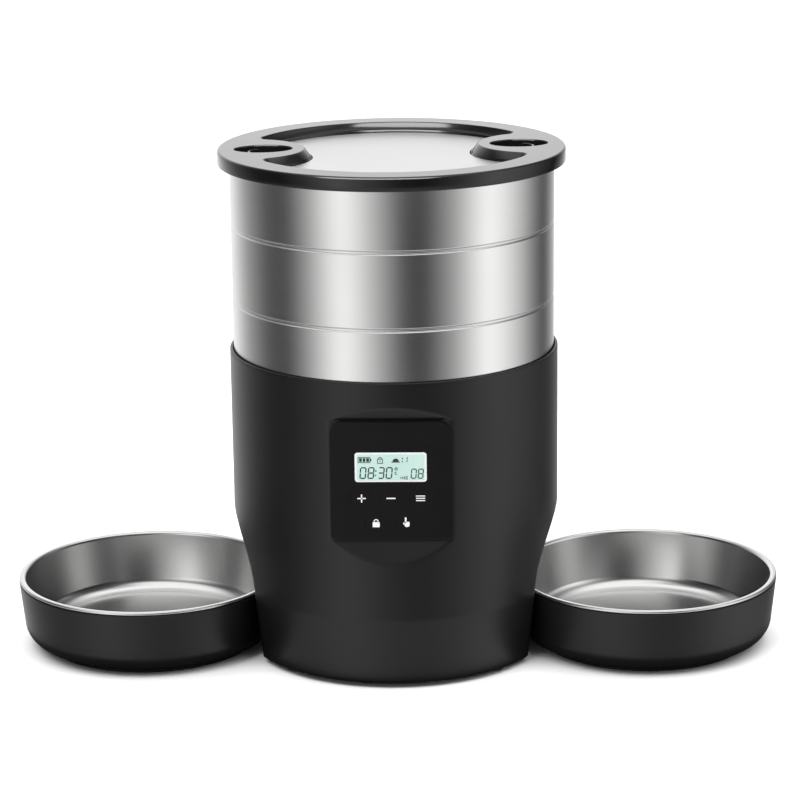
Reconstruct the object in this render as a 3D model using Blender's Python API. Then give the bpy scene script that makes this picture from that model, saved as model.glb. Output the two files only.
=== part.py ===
"""Automatic pet feeder with two bowls, built from separate pieces.

All sizes are in millimetres and become metres when a mesh is made. +Z is up, the
control panel faces -Y, and the bowls stand at -X and +X. The origin is on the floor,
midway between the bowls, under the middle of the hopper drum.
"""

import math

import bmesh
import bpy
from mathutils import Matrix, Vector

MM = 0.001
GAP = 0.3  # left between pieces that touch on the real feeder

# Housing: a tapered round shell with a scoop for a bowl on each side
BODY_R = 100.8
BODY_FOOT_R = 95.3
BODY_BOTTOM = 3.2
BODY_TAPER_Z = (5.0, 45.0)
BODY_TOP = 191.1
WALL = 2.5
SHOULDER_R = 94.0
SHOULDER_Z = 178.0

# Scoops: upright cylinders under half ellipsoids, centred on the bowls
BOWL_X = 155.2
SCOOP_R = 85.0
SCOOP_DOME_Z = 42.8
SCOOP_DOME_RISE = 59.6

# Base: plate, feet, battery box and door
PLATE_Z = (5.0, 7.4)
FOOT_R = 6.2
FOOT_XY = 60.2
SCREW_XY = ((-40.0, -74.0), (40.0, -74.0), (-40.0, 74.0), (40.0, 74.0))
CELL_R = 16.5
CELL_LENGTH = 59.0
CELL_PITCH = 34.0
CELL_Z = 24.4
BATTERY_BAY = (51.2, 34.0)  # half width and half depth inside
BATTERY_BOX_TOP = 43.4
BATTERY_WALL = 2.2
DOOR_HALF = (54.3, 37.0)
DOOR_Z = (2.6, 4.7)

# Drum: rolled steel sheet with two grooves and an inward curl at its mouth
DRUM_R = 98.4
DRUM_SHEET = 0.8
DRUM_BOTTOM = 181.0
DRUM_TOP = 305.2
GROOVE_Z = (222.0, 268.0)
GROOVE_HALF = 1.5
GROOVE_DEPTH = 1.0
CURL_R = 95.8
CURL_HEIGHT = 2.6

# Lid
LID_R = 105.5
LID_TOP = 313.6
LID_SKIRT_Z = 305.0
LID_YAW = math.radians(5.1)  # the lid drops on at any angle, and rests a little turned
RECESS_R = 88.0
LEDGE_Z = 309.5
DISC_R = 82.0
DISC_Z = (307.0, 307.8)
LID_FLOOR_Z = (304.3, 306.7)
PLUG_R = 95.3
PLUG_BOTTOM = 300.0
LOBE_X = 88.0
LOBE_R = (40.5, 35.5)  # at its foot and at its top
WELL_X = 77.5
WELL_HALF = (17.7, 13.0)
LATCH_HALF_WIDTH = 8.6
LATCH_PAD_X = (84.5, 87.1)
LATCH_REAR_X = 70.0
LATCH_PLATE_Z = (300.6, 302.3)
LATCH_TRAVEL = 5.0
SPRING_BOSS_X = (56.0, 58.0)
SPRING_COIL_R = 1.35
SPRING_WIRE_R = 0.3
SPRING_TURNS = 3
DESICCANT_R = 31.8
DESICCANT_Z = (285.5, 303.9)

# Dispenser: a vaned rotor on a shaft along Y, under the hopper funnel
ROTOR_Z = 122.0
ROTOR_BORE_R = 26.0
ROTOR_R = 25.3
ROTOR_HALF = 24.8
ROTOR_VANES = 6
SHAFT_R = 3.0
DISPENSER_HALF = 27.4
DISPENSER_WALL = 2.0
THROAT_R = 24.5
THROAT_BOTTOM = 150.7
FUNNEL_TOP = 207.0
FUNNEL_R = 96.5

# Chute: a roof-shaped floor that splits each portion between the bowls
CHUTE_APEX_Z = 93.0
CHUTE_FALL = 0.59  # drop per unit of length along X
CHUTE_HALF = 25.4
CHUTE_CLEAR = 20.0
CHUTE_WALL = 2.4
OUTLET_HALF = 21.5
OUTLET_Z = (52.5, 76.0)

# Gear train
MODULE = 1.0
GEAR_TEETH = 36
PINION_TEETH = 12
PRESSURE_ANGLE = math.radians(20.0)
BACKLASH = 0.2  # taken off each flank
CENTRE_DISTANCE = MODULE * (GEAR_TEETH + PINION_TEETH) / 2 + 0.15
PINION_Z = ROTOR_Z - CENTRE_DISTANCE
GEAR_Y = (30.4, 35.6)
GEAR_CASE_Y = (29.2, 39.0)
GEAR_CASE_R = 22.0
MOTOR_R = 12.0
MOTOR_LENGTH = 27.0

# Control panel, on a flat cut into the front of the housing
FACET_Y = -94.0
FACET_Z = (94.0, 167.5)
PANEL_Z = (94.6, 166.6)
PANEL_HALF_WIDTH = 36.0
PANEL_Y = (-95.6, -94.3)
PANEL_CORNERS = (8.0, 2.5)  # radius at the top and at the bottom
LCD_SIZE = (42.4, 18.0)
LCD_Z = 139.0
KEY_SIZE = (12.4, 8.0)
KEYS = (
    ("key_plus", -17.4, 120.0),
    ("key_minus", 0.0, 120.0),
    ("key_menu", 17.4, 120.0),
    ("key_lock", -9.0, 105.0),
    ("key_feed", 9.0, 105.0),
)
KEY_TRAVEL = 0.8

# Bowls and their trays
TRAY_RIM_R = 82.7
TRAY_TOP = 42.0
TRAY_FOOT_R = 66.5
TRAY_FILLET = 13.5
TRAY_WALL = 2.0
TONGUE = (62.0, 14.0, (8.2, 13.2))  # inner end, half width and heights
BOWL_RIM_R = 82.5
BOWL_RIM_TOP = 44.2
BOWL_SHEET = 0.8
BOWL_STEP_Z = 36.0
BOWL_FLOOR_R = 63.0
BOWL_FLOOR_Z = 7.4
BOWL_FILLET = 10.0

SOCKET_Z = 22.0
SOCKET_R = 5.2

ROUND = 36  # sides of the largest round pieces
MEDIUM = 24
SMALL = 16
TINY = 12


# ---- materials -------------------------------------------------------------------


def material(name, colour, roughness, metallic=0.0):
    """Returns the named material, made on first use."""
    found = bpy.data.materials.get(name)
    if found:
        return found
    made = bpy.data.materials.new(name)
    made.use_nodes = True
    shader = made.node_tree.nodes["Principled BSDF"]
    shader.inputs["Base Color"].default_value = (*colour, 1.0)
    shader.inputs["Roughness"].default_value = roughness
    shader.inputs["Metallic"].default_value = metallic
    return made


def black_plastic():
    return material("black_plastic", (0.02, 0.02, 0.022), 0.45)


def gloss_black():
    return material("gloss_black", (0.008, 0.008, 0.009), 0.12)


def inner_plastic():
    return material("inner_plastic", (0.06, 0.06, 0.065), 0.55)


def steel():
    return material("steel", (0.62, 0.62, 0.61), 0.22, 1.0)


def silver_disc():
    return material("silver_disc", (0.72, 0.72, 0.72), 0.38, 1.0)


def rubber():
    return material("rubber", (0.03, 0.03, 0.03), 0.8)


def silicone():
    return material("silicone", (0.75, 0.75, 0.73), 0.5)


def white_plastic():
    return material("white_plastic", (0.8, 0.8, 0.78), 0.4)


def brass():
    return material("brass", (0.72, 0.5, 0.2), 0.3, 1.0)


def board_green():
    return material("board_green", (0.02, 0.14, 0.05), 0.5)


def lcd_tint():
    return material("lcd_tint", (0.6, 0.8, 0.74), 0.25)


def cell_wrap():
    return material("cell_wrap", (0.12, 0.18, 0.4), 0.35)


# ---- mesh building ---------------------------------------------------------------


def finish(name, mesh_builder, surface, location=(0.0, 0.0, 0.0)):
    """Closes a bmesh made about its own origin into an object at location."""
    bmesh.ops.recalc_face_normals(mesh_builder, faces=mesh_builder.faces)
    bmesh.ops.scale(mesh_builder, vec=(MM, MM, MM), verts=mesh_builder.verts)
    mesh = bpy.data.meshes.new(name)
    mesh_builder.to_mesh(mesh)
    mesh_builder.free()
    mesh.materials.append(surface)
    piece = bpy.data.objects.new(name, mesh)
    bpy.context.scene.collection.objects.link(piece)
    piece.location = Vector(location) * MM
    smooth(piece)
    return piece


def smooth(piece):
    piece.data.shade_smooth()
    piece.data.set_sharp_from_angle(angle=math.radians(35))


def lathe(name, profile, surface, sides=MEDIUM, location=(0.0, 0.0, 0.0), axis="Z", phase=0.0):
    """Turns a closed (radius, height) profile about an axis through location.

    The phase is the part of one side that the corners are turned by."""
    shape = bmesh.new()
    rings = []
    for radius, height in profile:
        if radius < 1e-6:
            rings.append([shape.verts.new((0.0, 0.0, height))])
            continue
        turn = [2 * math.pi * (k + phase) / sides for k in range(sides)]
        rings.append([shape.verts.new((radius * math.cos(a), radius * math.sin(a), height)) for a in turn])
    for upper, lower in zip(rings, rings[1:] + rings[:1]):
        bridge(shape, upper, lower, sides)
    turned = {"Z": Matrix(), "Y": Matrix.Rotation(-math.pi / 2, 4, "X")}[axis]
    bmesh.ops.transform(shape, matrix=turned, verts=shape.verts)
    return finish(name, shape, surface, location)


def bridge(shape, upper, lower, sides):
    """Joins two neighbouring rings of a turned shape, either of which may be a pole."""
    if len(upper) == 1 and len(lower) == 1:
        return
    for k in range(sides):
        after = (k + 1) % sides
        corners = [upper[k % len(upper)], lower[k % len(lower)]]
        if len(lower) > 1:
            corners.append(lower[after])
        if len(upper) > 1:
            corners.append(upper[after])
        shape.faces.new(corners)


def rod(name, radius, span, surface, sides=SMALL, location=(0.0, 0.0, 0.0), axis="Z", phase=0.0):
    low, high = span
    profile = [(0, low), (radius, low), (radius, high), (0, high)]
    return lathe(name, profile, surface, sides, location, axis, phase)


def ring(name, inner, outer, span, surface, sides=SMALL, location=(0.0, 0.0, 0.0), axis="Z"):
    low, high = span
    profile = [(inner, low), (outer, low), (outer, high), (inner, high)]
    return lathe(name, profile, surface, sides, location, axis)


def box(name, x, y, z, surface):
    """Makes a box from its (low, high) spans along each axis."""
    shape = bmesh.new()
    bmesh.ops.create_cube(shape, size=1.0)
    size = [high - low for low, high in (x, y, z)]
    bmesh.ops.scale(shape, vec=size, verts=shape.verts)
    middle = [(low + high) / 2 for low, high in (x, y, z)]
    return finish(name, shape, surface, middle)


def prism(name, outline, span, surface, plane="XY", location=(0.0, 0.0, 0.0)):
    """Extrudes a flat outline along the axis that its plane leaves out."""
    place = {
        "XY": lambda a, b, c: (a, b, c),
        "XZ": lambda a, b, c: (a, c, b),
        "YZ": lambda a, b, c: (c, a, b),
    }[plane]
    shape = bmesh.new()
    near, far = ([shape.verts.new(place(a, b, depth)) for a, b in outline] for depth in span)
    shape.faces.new(near)
    shape.faces.new(far)
    for k in range(len(outline)):
        after = (k + 1) % len(outline)
        shape.faces.new((near[k], near[after], far[after], far[k]))
    return finish(name, shape, surface, location)


def combine(target, tool, operation):
    """Applies one Boolean to target and removes the tool."""
    step = target.modifiers.new(operation.lower(), "BOOLEAN")
    step.operation = operation
    step.solver = "EXACT"
    step.object = tool
    bpy.context.view_layer.update()
    evaluated = target.evaluated_get(bpy.context.evaluated_depsgraph_get())
    mesh = bpy.data.meshes.new_from_object(evaluated)
    mesh.name = target.name
    target.modifiers.clear()
    target.data = mesh
    bpy.data.objects.remove(tool)
    smooth(target)
    return target


def cut(target, *tools):
    for tool in tools:
        combine(target, tool, "DIFFERENCE")
    return target


def add(target, *tools):
    for tool in tools:
        combine(target, tool, "UNION")
    return target


def arc(centre, radius, start, end, steps):
    """Points along an arc from start to end degrees, both ends included."""
    turn = [math.radians(start + (end - start) * k / steps) for k in range(steps + 1)]
    return [(centre[0] + radius * math.cos(a), centre[1] + radius * math.sin(a)) for a in turn]


def rounded(centre, size, radii, steps=4):
    """Outline of a rectangle with (top, bottom) corner radii, anticlockwise from lower right."""
    half_x, half_z = size[0] / 2, size[1] / 2
    top, bottom = radii
    corners = (
        (half_x - bottom, bottom - half_z, bottom, -90),
        (half_x - top, half_z - top, top, 0),
        (top - half_x, half_z - top, top, 90),
        (bottom - half_x, bottom - half_z, bottom, 180),
    )
    outline = []
    for x, z, radius, start in corners:
        outline += arc((centre[0] + x, centre[1] + z), radius, start, start + 90, steps)
    return outline


def body_names(side):
    return "left" if side < 0 else "right"


# ---- housing ---------------------------------------------------------------------


def scoop(side, grow=0.0):
    """The hollow that a bowl tucks into, grown by a wall when cutting the inside."""
    dome = [
        (
            (SCOOP_R + grow) * math.cos(math.radians(turn)),
            SCOOP_DOME_Z + (SCOOP_DOME_RISE + grow) * math.sin(math.radians(turn)),
        )
        for turn in range(0, 90, 10)
    ]
    profile = [(0, -5), (SCOOP_R + grow, -5), *dome, (0, SCOOP_DOME_Z + SCOOP_DOME_RISE + grow)]
    return lathe("scoop_tool", profile, black_plastic(), ROUND, (side * BOWL_X, 0, 0), phase=0.5)


def facet(grow=0.0):
    """The flat with sloping ends that the control panel sits on."""
    face = FACET_Y + grow
    low, high = FACET_Z
    outline = [
        (face, low - grow),
        (face, high + grow),
        (FACET_Y - 12, high + 15 + grow),
        (FACET_Y - 12, low - 24 - grow),
    ]
    return prism("facet_tool", outline, (-60, 60), black_plastic(), "YZ")


def inner_scoops(grow):
    return [scoop(side, grow) for side in (-1, 1)]


def housing():
    outside = [
        (0, BODY_BOTTOM),
        (BODY_FOOT_R - 1.2, BODY_BOTTOM),
        (BODY_FOOT_R, BODY_TAPER_Z[0]),
        (BODY_R, BODY_TAPER_Z[1]),
        (BODY_R, BODY_TOP - 0.8),
        (BODY_R - 0.8, BODY_TOP),
        (0, BODY_TOP),
    ]
    inside = [
        (0, BODY_BOTTOM - 1),
        (BODY_FOOT_R - WALL, BODY_BOTTOM - 1),
        (BODY_FOOT_R - WALL, BODY_TAPER_Z[0]),
        (BODY_R - WALL, BODY_TAPER_Z[1]),
        (BODY_R - WALL, SHOULDER_Z - 3),
        (SHOULDER_R, SHOULDER_Z - 3),
        (SHOULDER_R, SHOULDER_Z),
        (DRUM_R + 0.5, SHOULDER_Z),
        (DRUM_R + 0.5, BODY_TOP + 1),
        (0, BODY_TOP + 1),
    ]
    shell = lathe("housing", outside, black_plastic(), ROUND)
    cut(shell, scoop(-1), scoop(1), facet())
    room = lathe("housing_room", inside, black_plastic(), ROUND)
    cut(room, *inner_scoops(WALL), facet(WALL))
    cut(shell, room)
    for side in (-1, 1):
        near, far = sorted((side * 58.0, side * 95.0))
        outlet = box("outlet_tool", (near, far), (-OUTLET_HALF, OUTLET_HALF), OUTLET_Z, black_plastic())
        near, far = sorted((side * 62.0, side * 73.0))
        _, half, heights = TONGUE
        slot_z = (heights[0] - 0.4, heights[1] + 0.6)
        slot = box("slot_tool", (near, far), (-half - 1, half + 1), slot_z, black_plastic())
        cut(shell, outlet, slot)
    window = box("window_tool", (-29, 29), (FACET_Y - 5, FACET_Y + 8), (97.0, 152.5), black_plastic())
    socket = rod("socket_tool", SOCKET_R + GAP, (80, 110), black_plastic(), SMALL, (0, 0, SOCKET_Z), "Y")
    cut(shell, window, socket)
    return shell


def base_plate():
    """Closes the bottom, with rails under it for the battery door."""
    low, high = PLATE_Z
    plate = rod("base_plate", BODY_FOOT_R - WALL - GAP, PLATE_Z, black_plastic(), ROUND)
    cut(plate, *inner_scoops(WALL + GAP))
    bay_x, bay_y = BATTERY_BAY
    cut(plate, box("bay_tool", (-bay_x, bay_x), (-bay_y, bay_y), (low - 1, high + 1), black_plastic()))
    edge = DOOR_HALF[0] + GAP
    hook = [
        (edge, low + 0.8),
        (edge, DOOR_Z[0] - GAP),
        (edge - 3.0, DOOR_Z[0] - GAP),
        (edge - 3.0, 1.3),
        (edge + 2.2, 1.3),
        (edge + 2.2, low + 0.8),
    ]
    for side in (-1, 1):
        rail = [(side * x, z) for x, z in hook]
        add(plate, prism("rail", rail, (-38, 38), black_plastic(), "XZ"))
    for x, y in SCREW_XY:
        cut(plate, rod("screw_tool", 1.9, (low - 1, high + 1), black_plastic(), TINY, (x, y, 0)))
    return plate


def feet():
    for front, y in (("front", -FOOT_XY), ("rear", FOOT_XY)):
        for side in (-1, 1):
            profile = [
                (0, 0),
                (FOOT_R - 0.8, 0),
                (FOOT_R, 0.8),
                (FOOT_R, PLATE_Z[0] - GAP),
                (0, PLATE_Z[0] - GAP),
            ]
            name = f"foot_{front}_{body_names(side)}"
            lathe(name, profile, rubber(), SMALL, (side * FOOT_XY, y, 0))


def base_screws():
    head_top = PLATE_Z[0] - GAP
    profile = [
        (0, head_top - 2.0),
        (2.9, head_top - 2.0),
        (3.2, head_top - 1.4),
        (3.2, head_top),
        (1.5, head_top),
        (1.5, PLATE_Z[1] + 8.0),
        (0, PLATE_Z[1] + 9.0),
    ]
    for index, (x, y) in enumerate(SCREW_XY, 1):
        lathe(f"base_screw_{index}", profile, steel(), TINY, (x, y, 0))


def battery_parts():
    bay_x, bay_y = BATTERY_BAY
    out_x, out_y = bay_x + BATTERY_WALL, bay_y + BATTERY_WALL
    bottom = PLATE_Z[1] + GAP
    cover = box("battery_box", (-out_x, out_x), (-out_y, out_y), (bottom, BATTERY_BOX_TOP), inner_plastic())
    room = (bottom - 1, BATTERY_BOX_TOP - BATTERY_WALL)
    cut(cover, box("room_tool", (-bay_x, bay_x), (-bay_y, bay_y), room, inner_plastic()))
    half = CELL_LENGTH / 2
    profile = [
        (0, -half),
        (CELL_R, -half),
        (CELL_R, half),
        (4.6, half),
        (4.6, half + 1.5),
        (0, half + 1.5),
    ]
    for index, x in enumerate((-CELL_PITCH, 0, CELL_PITCH), 1):
        lathe(f"battery_cell_{index}", profile, cell_wrap(), SMALL, (x, 0, CELL_Z), "Y")
    contact_z = (CELL_Z - 8, CELL_Z + 8)
    for name, span in (("front", (-bay_y + GAP, -bay_y + 1.1)), ("rear", (bay_y - 1.1, bay_y - GAP))):
        box(f"battery_contact_{name}", (-bay_x + 3, bay_x - 3), span, contact_z, brass())


def battery_door():
    half_x, half_y = DOOR_HALF
    door = box("battery_door", (-half_x, half_x), (-half_y, half_y), DOOR_Z, black_plastic())
    grip = box("grip_tool", (-9, 9), (half_y - 9, half_y - 5), (DOOR_Z[0] - 1, DOOR_Z[0] + 0.9), black_plastic())
    return cut(door, grip)


def power_socket():
    """A round jack in the rear wall, with a pin in its bore."""
    low, high = BODY_TAPER_Z
    back = BODY_FOOT_R + (BODY_R - BODY_FOOT_R) * (SOCKET_Z - low) / (high - low)
    profile = [
        (0, back - 3.0),
        (1.0, back - 3.0),
        (1.0, back - 12.0),
        (2.9, back - 12.0),
        (2.9, back + 0.2),
        (SOCKET_R, back + 0.2),
        (SOCKET_R, back - 14.0),
        (0, back - 14.0),
    ]
    return lathe("power_socket", profile, gloss_black(), SMALL, (0, 0, SOCKET_Z), "Y")


# ---- control panel ---------------------------------------------------------------


def panel_plate():
    size = (2 * PANEL_HALF_WIDTH, PANEL_Z[1] - PANEL_Z[0])
    centre = (0, sum(PANEL_Z) / 2)
    outline = rounded(centre, size, PANEL_CORNERS, 5)
    plate = prism("panel_plate", outline, PANEL_Y, gloss_black(), "XZ")
    depth = (PANEL_Y[0] - 1, PANEL_Y[1] + 1)
    lcd_hole = (LCD_SIZE[0] + 2 * GAP, LCD_SIZE[1] + 2 * GAP)
    cut(plate, prism("lcd_tool", rounded((0, LCD_Z), lcd_hole, (1.8, 1.8), 2), depth, gloss_black(), "XZ"))
    key_hole = (KEY_SIZE[0] + 2 * GAP, KEY_SIZE[1] + 2 * GAP)
    for _, x, z in KEYS:
        outline = rounded((x, z), key_hole, (2.7, 2.7), 4)
        cut(plate, prism("key_tool", outline, depth, gloss_black(), "XZ"))
    return plate


def keys():
    """Five push caps, each just proud of the plate."""
    front = PANEL_Y[0] - 0.1
    for name, x, z in KEYS:
        outline = rounded((0, 0), KEY_SIZE, (2.5, 2.5), 3)
        prism(name, outline, (0, 2.7), gloss_black(), "XZ", (x, front, z))


def display():
    outline = rounded((0, LCD_Z), LCD_SIZE, (1.5, 1.5), 2)
    prism("display_window", outline, (PANEL_Y[0] + 0.1, PANEL_Y[1] - GAP), lcd_tint(), "XZ")
    half_x, half_z = LCD_SIZE[0] / 2 + 2.5, LCD_SIZE[1] / 2 + 2.4
    span_z = (LCD_Z - half_z, LCD_Z + half_z)
    box("display_module", (-half_x, half_x), (PANEL_Y[1] + GAP, -90.9), span_z, lcd_tint())
    box("key_mat", (-27, 27), (-92.0, -90.9), (98.0, 126.5), silicone())
    box("control_board", (-33, 33), (-90.5, -88.9), (97.0, 163.0), board_green())


# ---- dispenser -------------------------------------------------------------------


def hopper_funnel():
    """Carries food from the drum down to the rotor, and the drum stands on its flange."""
    flange = (SHOULDER_Z + GAP, DRUM_BOTTOM - GAP)
    skirt = FUNNEL_R - 2.2
    rise = (FUNNEL_TOP - 155.5) / (FUNNEL_R - 1.9 - THROAT_R)
    under = 155.5 - 1.3
    profile = [
        (FUNNEL_R, FUNNEL_TOP),
        (FUNNEL_R, flange[1]),
        (DRUM_R - 0.1, flange[1]),
        (DRUM_R - 0.1, flange[0]),
        (skirt, flange[0]),
        (skirt, under + rise * (skirt - THROAT_R - 2)),
        (THROAT_R + 2, under),
        (THROAT_R + 2, THROAT_BOTTOM),
        (THROAT_R, THROAT_BOTTOM),
        (THROAT_R, 155.5),
        (FUNNEL_R - 1.9, FUNNEL_TOP),
    ]
    return lathe("hopper_funnel", profile, black_plastic(), ROUND)


def dispenser_housing():
    """A drum along Y around the rotor, with a collar for the funnel's throat."""
    at = (0, 0, ROTOR_Z)
    outer = ROTOR_BORE_R + DISPENSER_WALL
    shell = rod(
        "dispenser_housing", outer, (-DISPENSER_HALF, DISPENSER_HALF), inner_plastic(), MEDIUM, at, "Y"
    )
    collar_z = (134.0, THROAT_BOTTOM + 1.7)
    collar = rod("collar", THROAT_R + 4.5, collar_z, inner_plastic(), MEDIUM, phase=0.5)
    add(shell, collar)
    inner_half = DISPENSER_HALF - DISPENSER_WALL
    throat = rod("throat_tool", THROAT_R - 0.2, (ROTOR_Z + 5, 160), inner_plastic(), MEDIUM, phase=0.5)
    seat_z = (THROAT_BOTTOM - GAP, 160)
    seat = rod("seat_tool", THROAT_R + 2.5, seat_z, inner_plastic(), MEDIUM, phase=0.5)
    bore = rod("bore_tool", ROTOR_BORE_R, (-inner_half, inner_half), inner_plastic(), MEDIUM, at, "Y")
    exit_z = (ROTOR_Z - outer - 3, ROTOR_Z - 17)
    mouth = box("exit_tool", (-15, 15), (-22, 22), exit_z, inner_plastic())
    axle = rod("axle_tool", 5.3, (-30, 30), inner_plastic(), SMALL, at, "Y")
    return cut(shell, throat, seat, bore, mouth, axle)


def rotor_outline():
    """A hub with straight vanes, drawn as one star."""
    hub, half = 7.5, 0.9
    outline = []
    for k in range(ROTOR_VANES):
        turn = 2 * math.pi * k / ROTOR_VANES
        inner = math.sqrt(hub**2 - half**2)
        outer = math.sqrt(ROTOR_R**2 - half**2)
        for along, across in ((inner, -half), (outer, -half), (outer, half), (inner, half)):
            x = along * math.cos(turn) - across * math.sin(turn)
            z = along * math.sin(turn) + across * math.cos(turn)
            outline.append((x, z))
        middle = turn + math.pi / ROTOR_VANES
        outline.append((hub * math.cos(middle), hub * math.sin(middle)))
    return outline


def rotor_group():
    at = (0, 0, ROTOR_Z)
    rotor = prism("rotor", rotor_outline(), (-ROTOR_HALF, ROTOR_HALF), silicone(), "XZ", at)
    cut(rotor, rod("hub_tool", SHAFT_R + GAP, (-30, 30), silicone(), TINY, at, "Y"))
    rod("rotor_shaft", SHAFT_R, (-35.5, 36.5), steel(), TINY, at, "Y")
    wheel = prism("drive_gear", gear_outline(GEAR_TEETH, -math.pi / 2), GEAR_Y, white_plastic(), "XZ", at)
    cut(wheel, rod("hub_tool", SHAFT_R + GAP, (20, 40), white_plastic(), TINY, at, "Y"))
    lobes = [2 * math.pi * k / 30 for k in range(30)]
    outline = [
        ((9.5 + math.cos(ROTOR_VANES * a)) * math.cos(a), (9.5 + math.cos(ROTOR_VANES * a)) * math.sin(a))
        for a in lobes
    ]
    cam = prism("portion_cam", outline, (-33.5, -30.0), white_plastic(), "XZ", at)
    cut(cam, rod("hub_tool", SHAFT_R + GAP, (-40, -20), white_plastic(), TINY, at, "Y"))


def bushes():
    """Flanged bushes in the two end walls carry the shaft."""
    inner = DISPENSER_HALF - DISPENSER_WALL + 0.2
    for name, side in (("front", -1), ("rear", 1)):
        profile = [
            (SHAFT_R + GAP, side * inner),
            (5.0, side * inner),
            (5.0, side * (DISPENSER_HALF + GAP)),
            (6.4, side * (DISPENSER_HALF + GAP)),
            (6.4, side * (DISPENSER_HALF + 1.2)),
            (SHAFT_R + GAP, side * (DISPENSER_HALF + 1.2)),
        ]
        lathe(f"shaft_bush_{name}", profile, brass(), TINY, (0, 0, ROTOR_Z), "Y")


def portion_switch():
    """A micro switch over the cam counts the portions."""
    body = box("portion_switch", (-8, 8), (-35.0, -29.5), (135.2, 144.0), gloss_black())
    return add(body, box("plunger", (-1.2, 1.2), (-33.0, -31.0), (133.0, 136.0), gloss_black()))


def splitter_chute():
    """A roofed channel each way from a ridge under the rotor, on a web over the battery box."""

    def floor(x):
        return CHUTE_APEX_Z - CHUTE_FALL * x

    far = 80.0
    below, above = CHUTE_WALL, CHUTE_CLEAR + CHUTE_WALL
    right = [
        (far, floor(far) - below),
        (far, floor(far) + above),
        (22.0, floor(22.0) + above),
        (13.0, ROTOR_Z - ROTOR_BORE_R - DISPENSER_WALL - GAP),
    ]
    left = [(-x, z) for x, z in reversed(right)]
    outline = [(0, floor(0) - below), *right, *left]
    duct = prism("splitter_chute", outline, (-CHUTE_HALF, CHUTE_HALF), inner_plastic(), "XZ")
    far += 1.0
    right = [
        (far, floor(far)),
        (far, floor(far) + CHUTE_CLEAR),
        (20.0, floor(20.0) + CHUTE_CLEAR),
        (20.0, 120.0),
    ]
    left = [(-x, z) for x, z in reversed(right)]
    half = CHUTE_HALF - CHUTE_WALL
    cut(duct, prism("channel_tool", [(0, floor(0)), *right, *left], (-half, half), inner_plastic(), "XZ"))
    add(duct, box("web", (-1.2, 1.2), (-20, 20), (BATTERY_BOX_TOP + GAP, CHUTE_APEX_Z - 1.5), inner_plastic()))
    return cut(duct, *inner_scoops(WALL + GAP))


# ---- gear train ------------------------------------------------------------------


def gear_outline(teeth, first_tooth):
    """Involute teeth as (x, z) points, with one tooth's middle at first_tooth radians."""
    pitch = MODULE * teeth / 2
    base = pitch * math.cos(PRESSURE_ANGLE)
    tip, root = pitch + MODULE, pitch - 1.25 * MODULE
    start = max(base, root + 0.1)
    flank = [start, (start + tip) / 2, tip]

    def involute(radius):
        angle = math.acos(min(1.0, base / radius))
        return math.tan(angle) - angle

    at_pitch = math.pi / (2 * teeth) - BACKLASH / pitch
    halves = [at_pitch + involute(pitch) - involute(radius) for radius in flank]
    rising = [(root, -halves[0])] + [(radius, -half) for radius, half in zip(flank, halves)]
    tooth = rising + [(radius, -turn) for radius, turn in reversed(rising)]
    outline = []
    for k in range(teeth):
        middle = first_tooth + 2 * math.pi * k / teeth
        outline += [(radius * math.cos(middle + turn), radius * math.sin(middle + turn)) for radius, turn in tooth]
    return outline


def gear_case():
    """A pocket around the two gears, open towards the dispenser."""

    def stadium(radius):
        upper = arc((0, ROTOR_Z), radius, 0, 180, 12)
        return upper + arc((0, PINION_Z), radius, 180, 360, 12)

    near, far = GEAR_CASE_Y
    case = prism("gear_case", stadium(GEAR_CASE_R), GEAR_CASE_Y, inner_plastic(), "XZ")
    cut(case, prism("pocket_tool", stadium(GEAR_CASE_R - 2), (near - 1, far - 2.2), inner_plastic(), "XZ"))
    return cut(case, rod("motor_tool", 3.2, (near, far + 1), inner_plastic(), TINY, (0, 0, PINION_Z), "Y"))


def motor():
    """A small geared motor behind the case, with its pinion on its shaft."""
    front = GEAR_CASE_Y[1] + GAP
    back = front + MOTOR_LENGTH
    profile = [
        (0, front + 8),
        (2.0, front + 8),
        (2.0, front),
        (MOTOR_R, front),
        (MOTOR_R, back - 2),
        (MOTOR_R - 2, back),
        (0, back),
    ]
    lathe("motor", profile, steel(), SMALL, (0, 0, PINION_Z), "Y")
    at = (0, 0, PINION_Z)
    gap_up = math.pi / 2 + math.pi / PINION_TEETH
    span = (GEAR_Y[0] - 0.4, GEAR_Y[1] + 0.4)
    pinion = prism("motor_pinion", gear_outline(PINION_TEETH, gap_up), span, brass(), "XZ", at)
    return add(pinion, rod("shaft", 1.5, (GEAR_Y[1], front + 6.5), brass(), TINY, at, "Y"))


# ---- drum and lid ----------------------------------------------------------------


def drum():
    inner = DRUM_R - DRUM_SHEET
    outside = [(DRUM_R, DRUM_TOP - 1.0)]
    for middle in reversed(GROOVE_Z):
        for offset, depth in ((1, 0), (0, GROOVE_DEPTH), (-1, 0)):
            outside.append((DRUM_R - depth, middle + offset * GROOVE_HALF))
    outside.append((DRUM_R, DRUM_BOTTOM))
    inside = [(radius - DRUM_SHEET, height) for radius, height in reversed(outside[1:])]
    curl_low = DRUM_TOP - CURL_HEIGHT
    mouth = [(inner, curl_low), (CURL_R, curl_low), (CURL_R, DRUM_TOP), (DRUM_R - 0.6, DRUM_TOP)]
    return lathe("drum", outside + inside + mouth, steel(), ROUND)


def turn_with_lid(piece):
    """Turns a piece made along X to the lid's resting angle."""
    piece.data.transform(Matrix.Rotation(LID_YAW, 4, "Z"))
    piece.location = Matrix.Rotation(LID_YAW, 4, "Z") @ piece.location
    return piece


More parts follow.
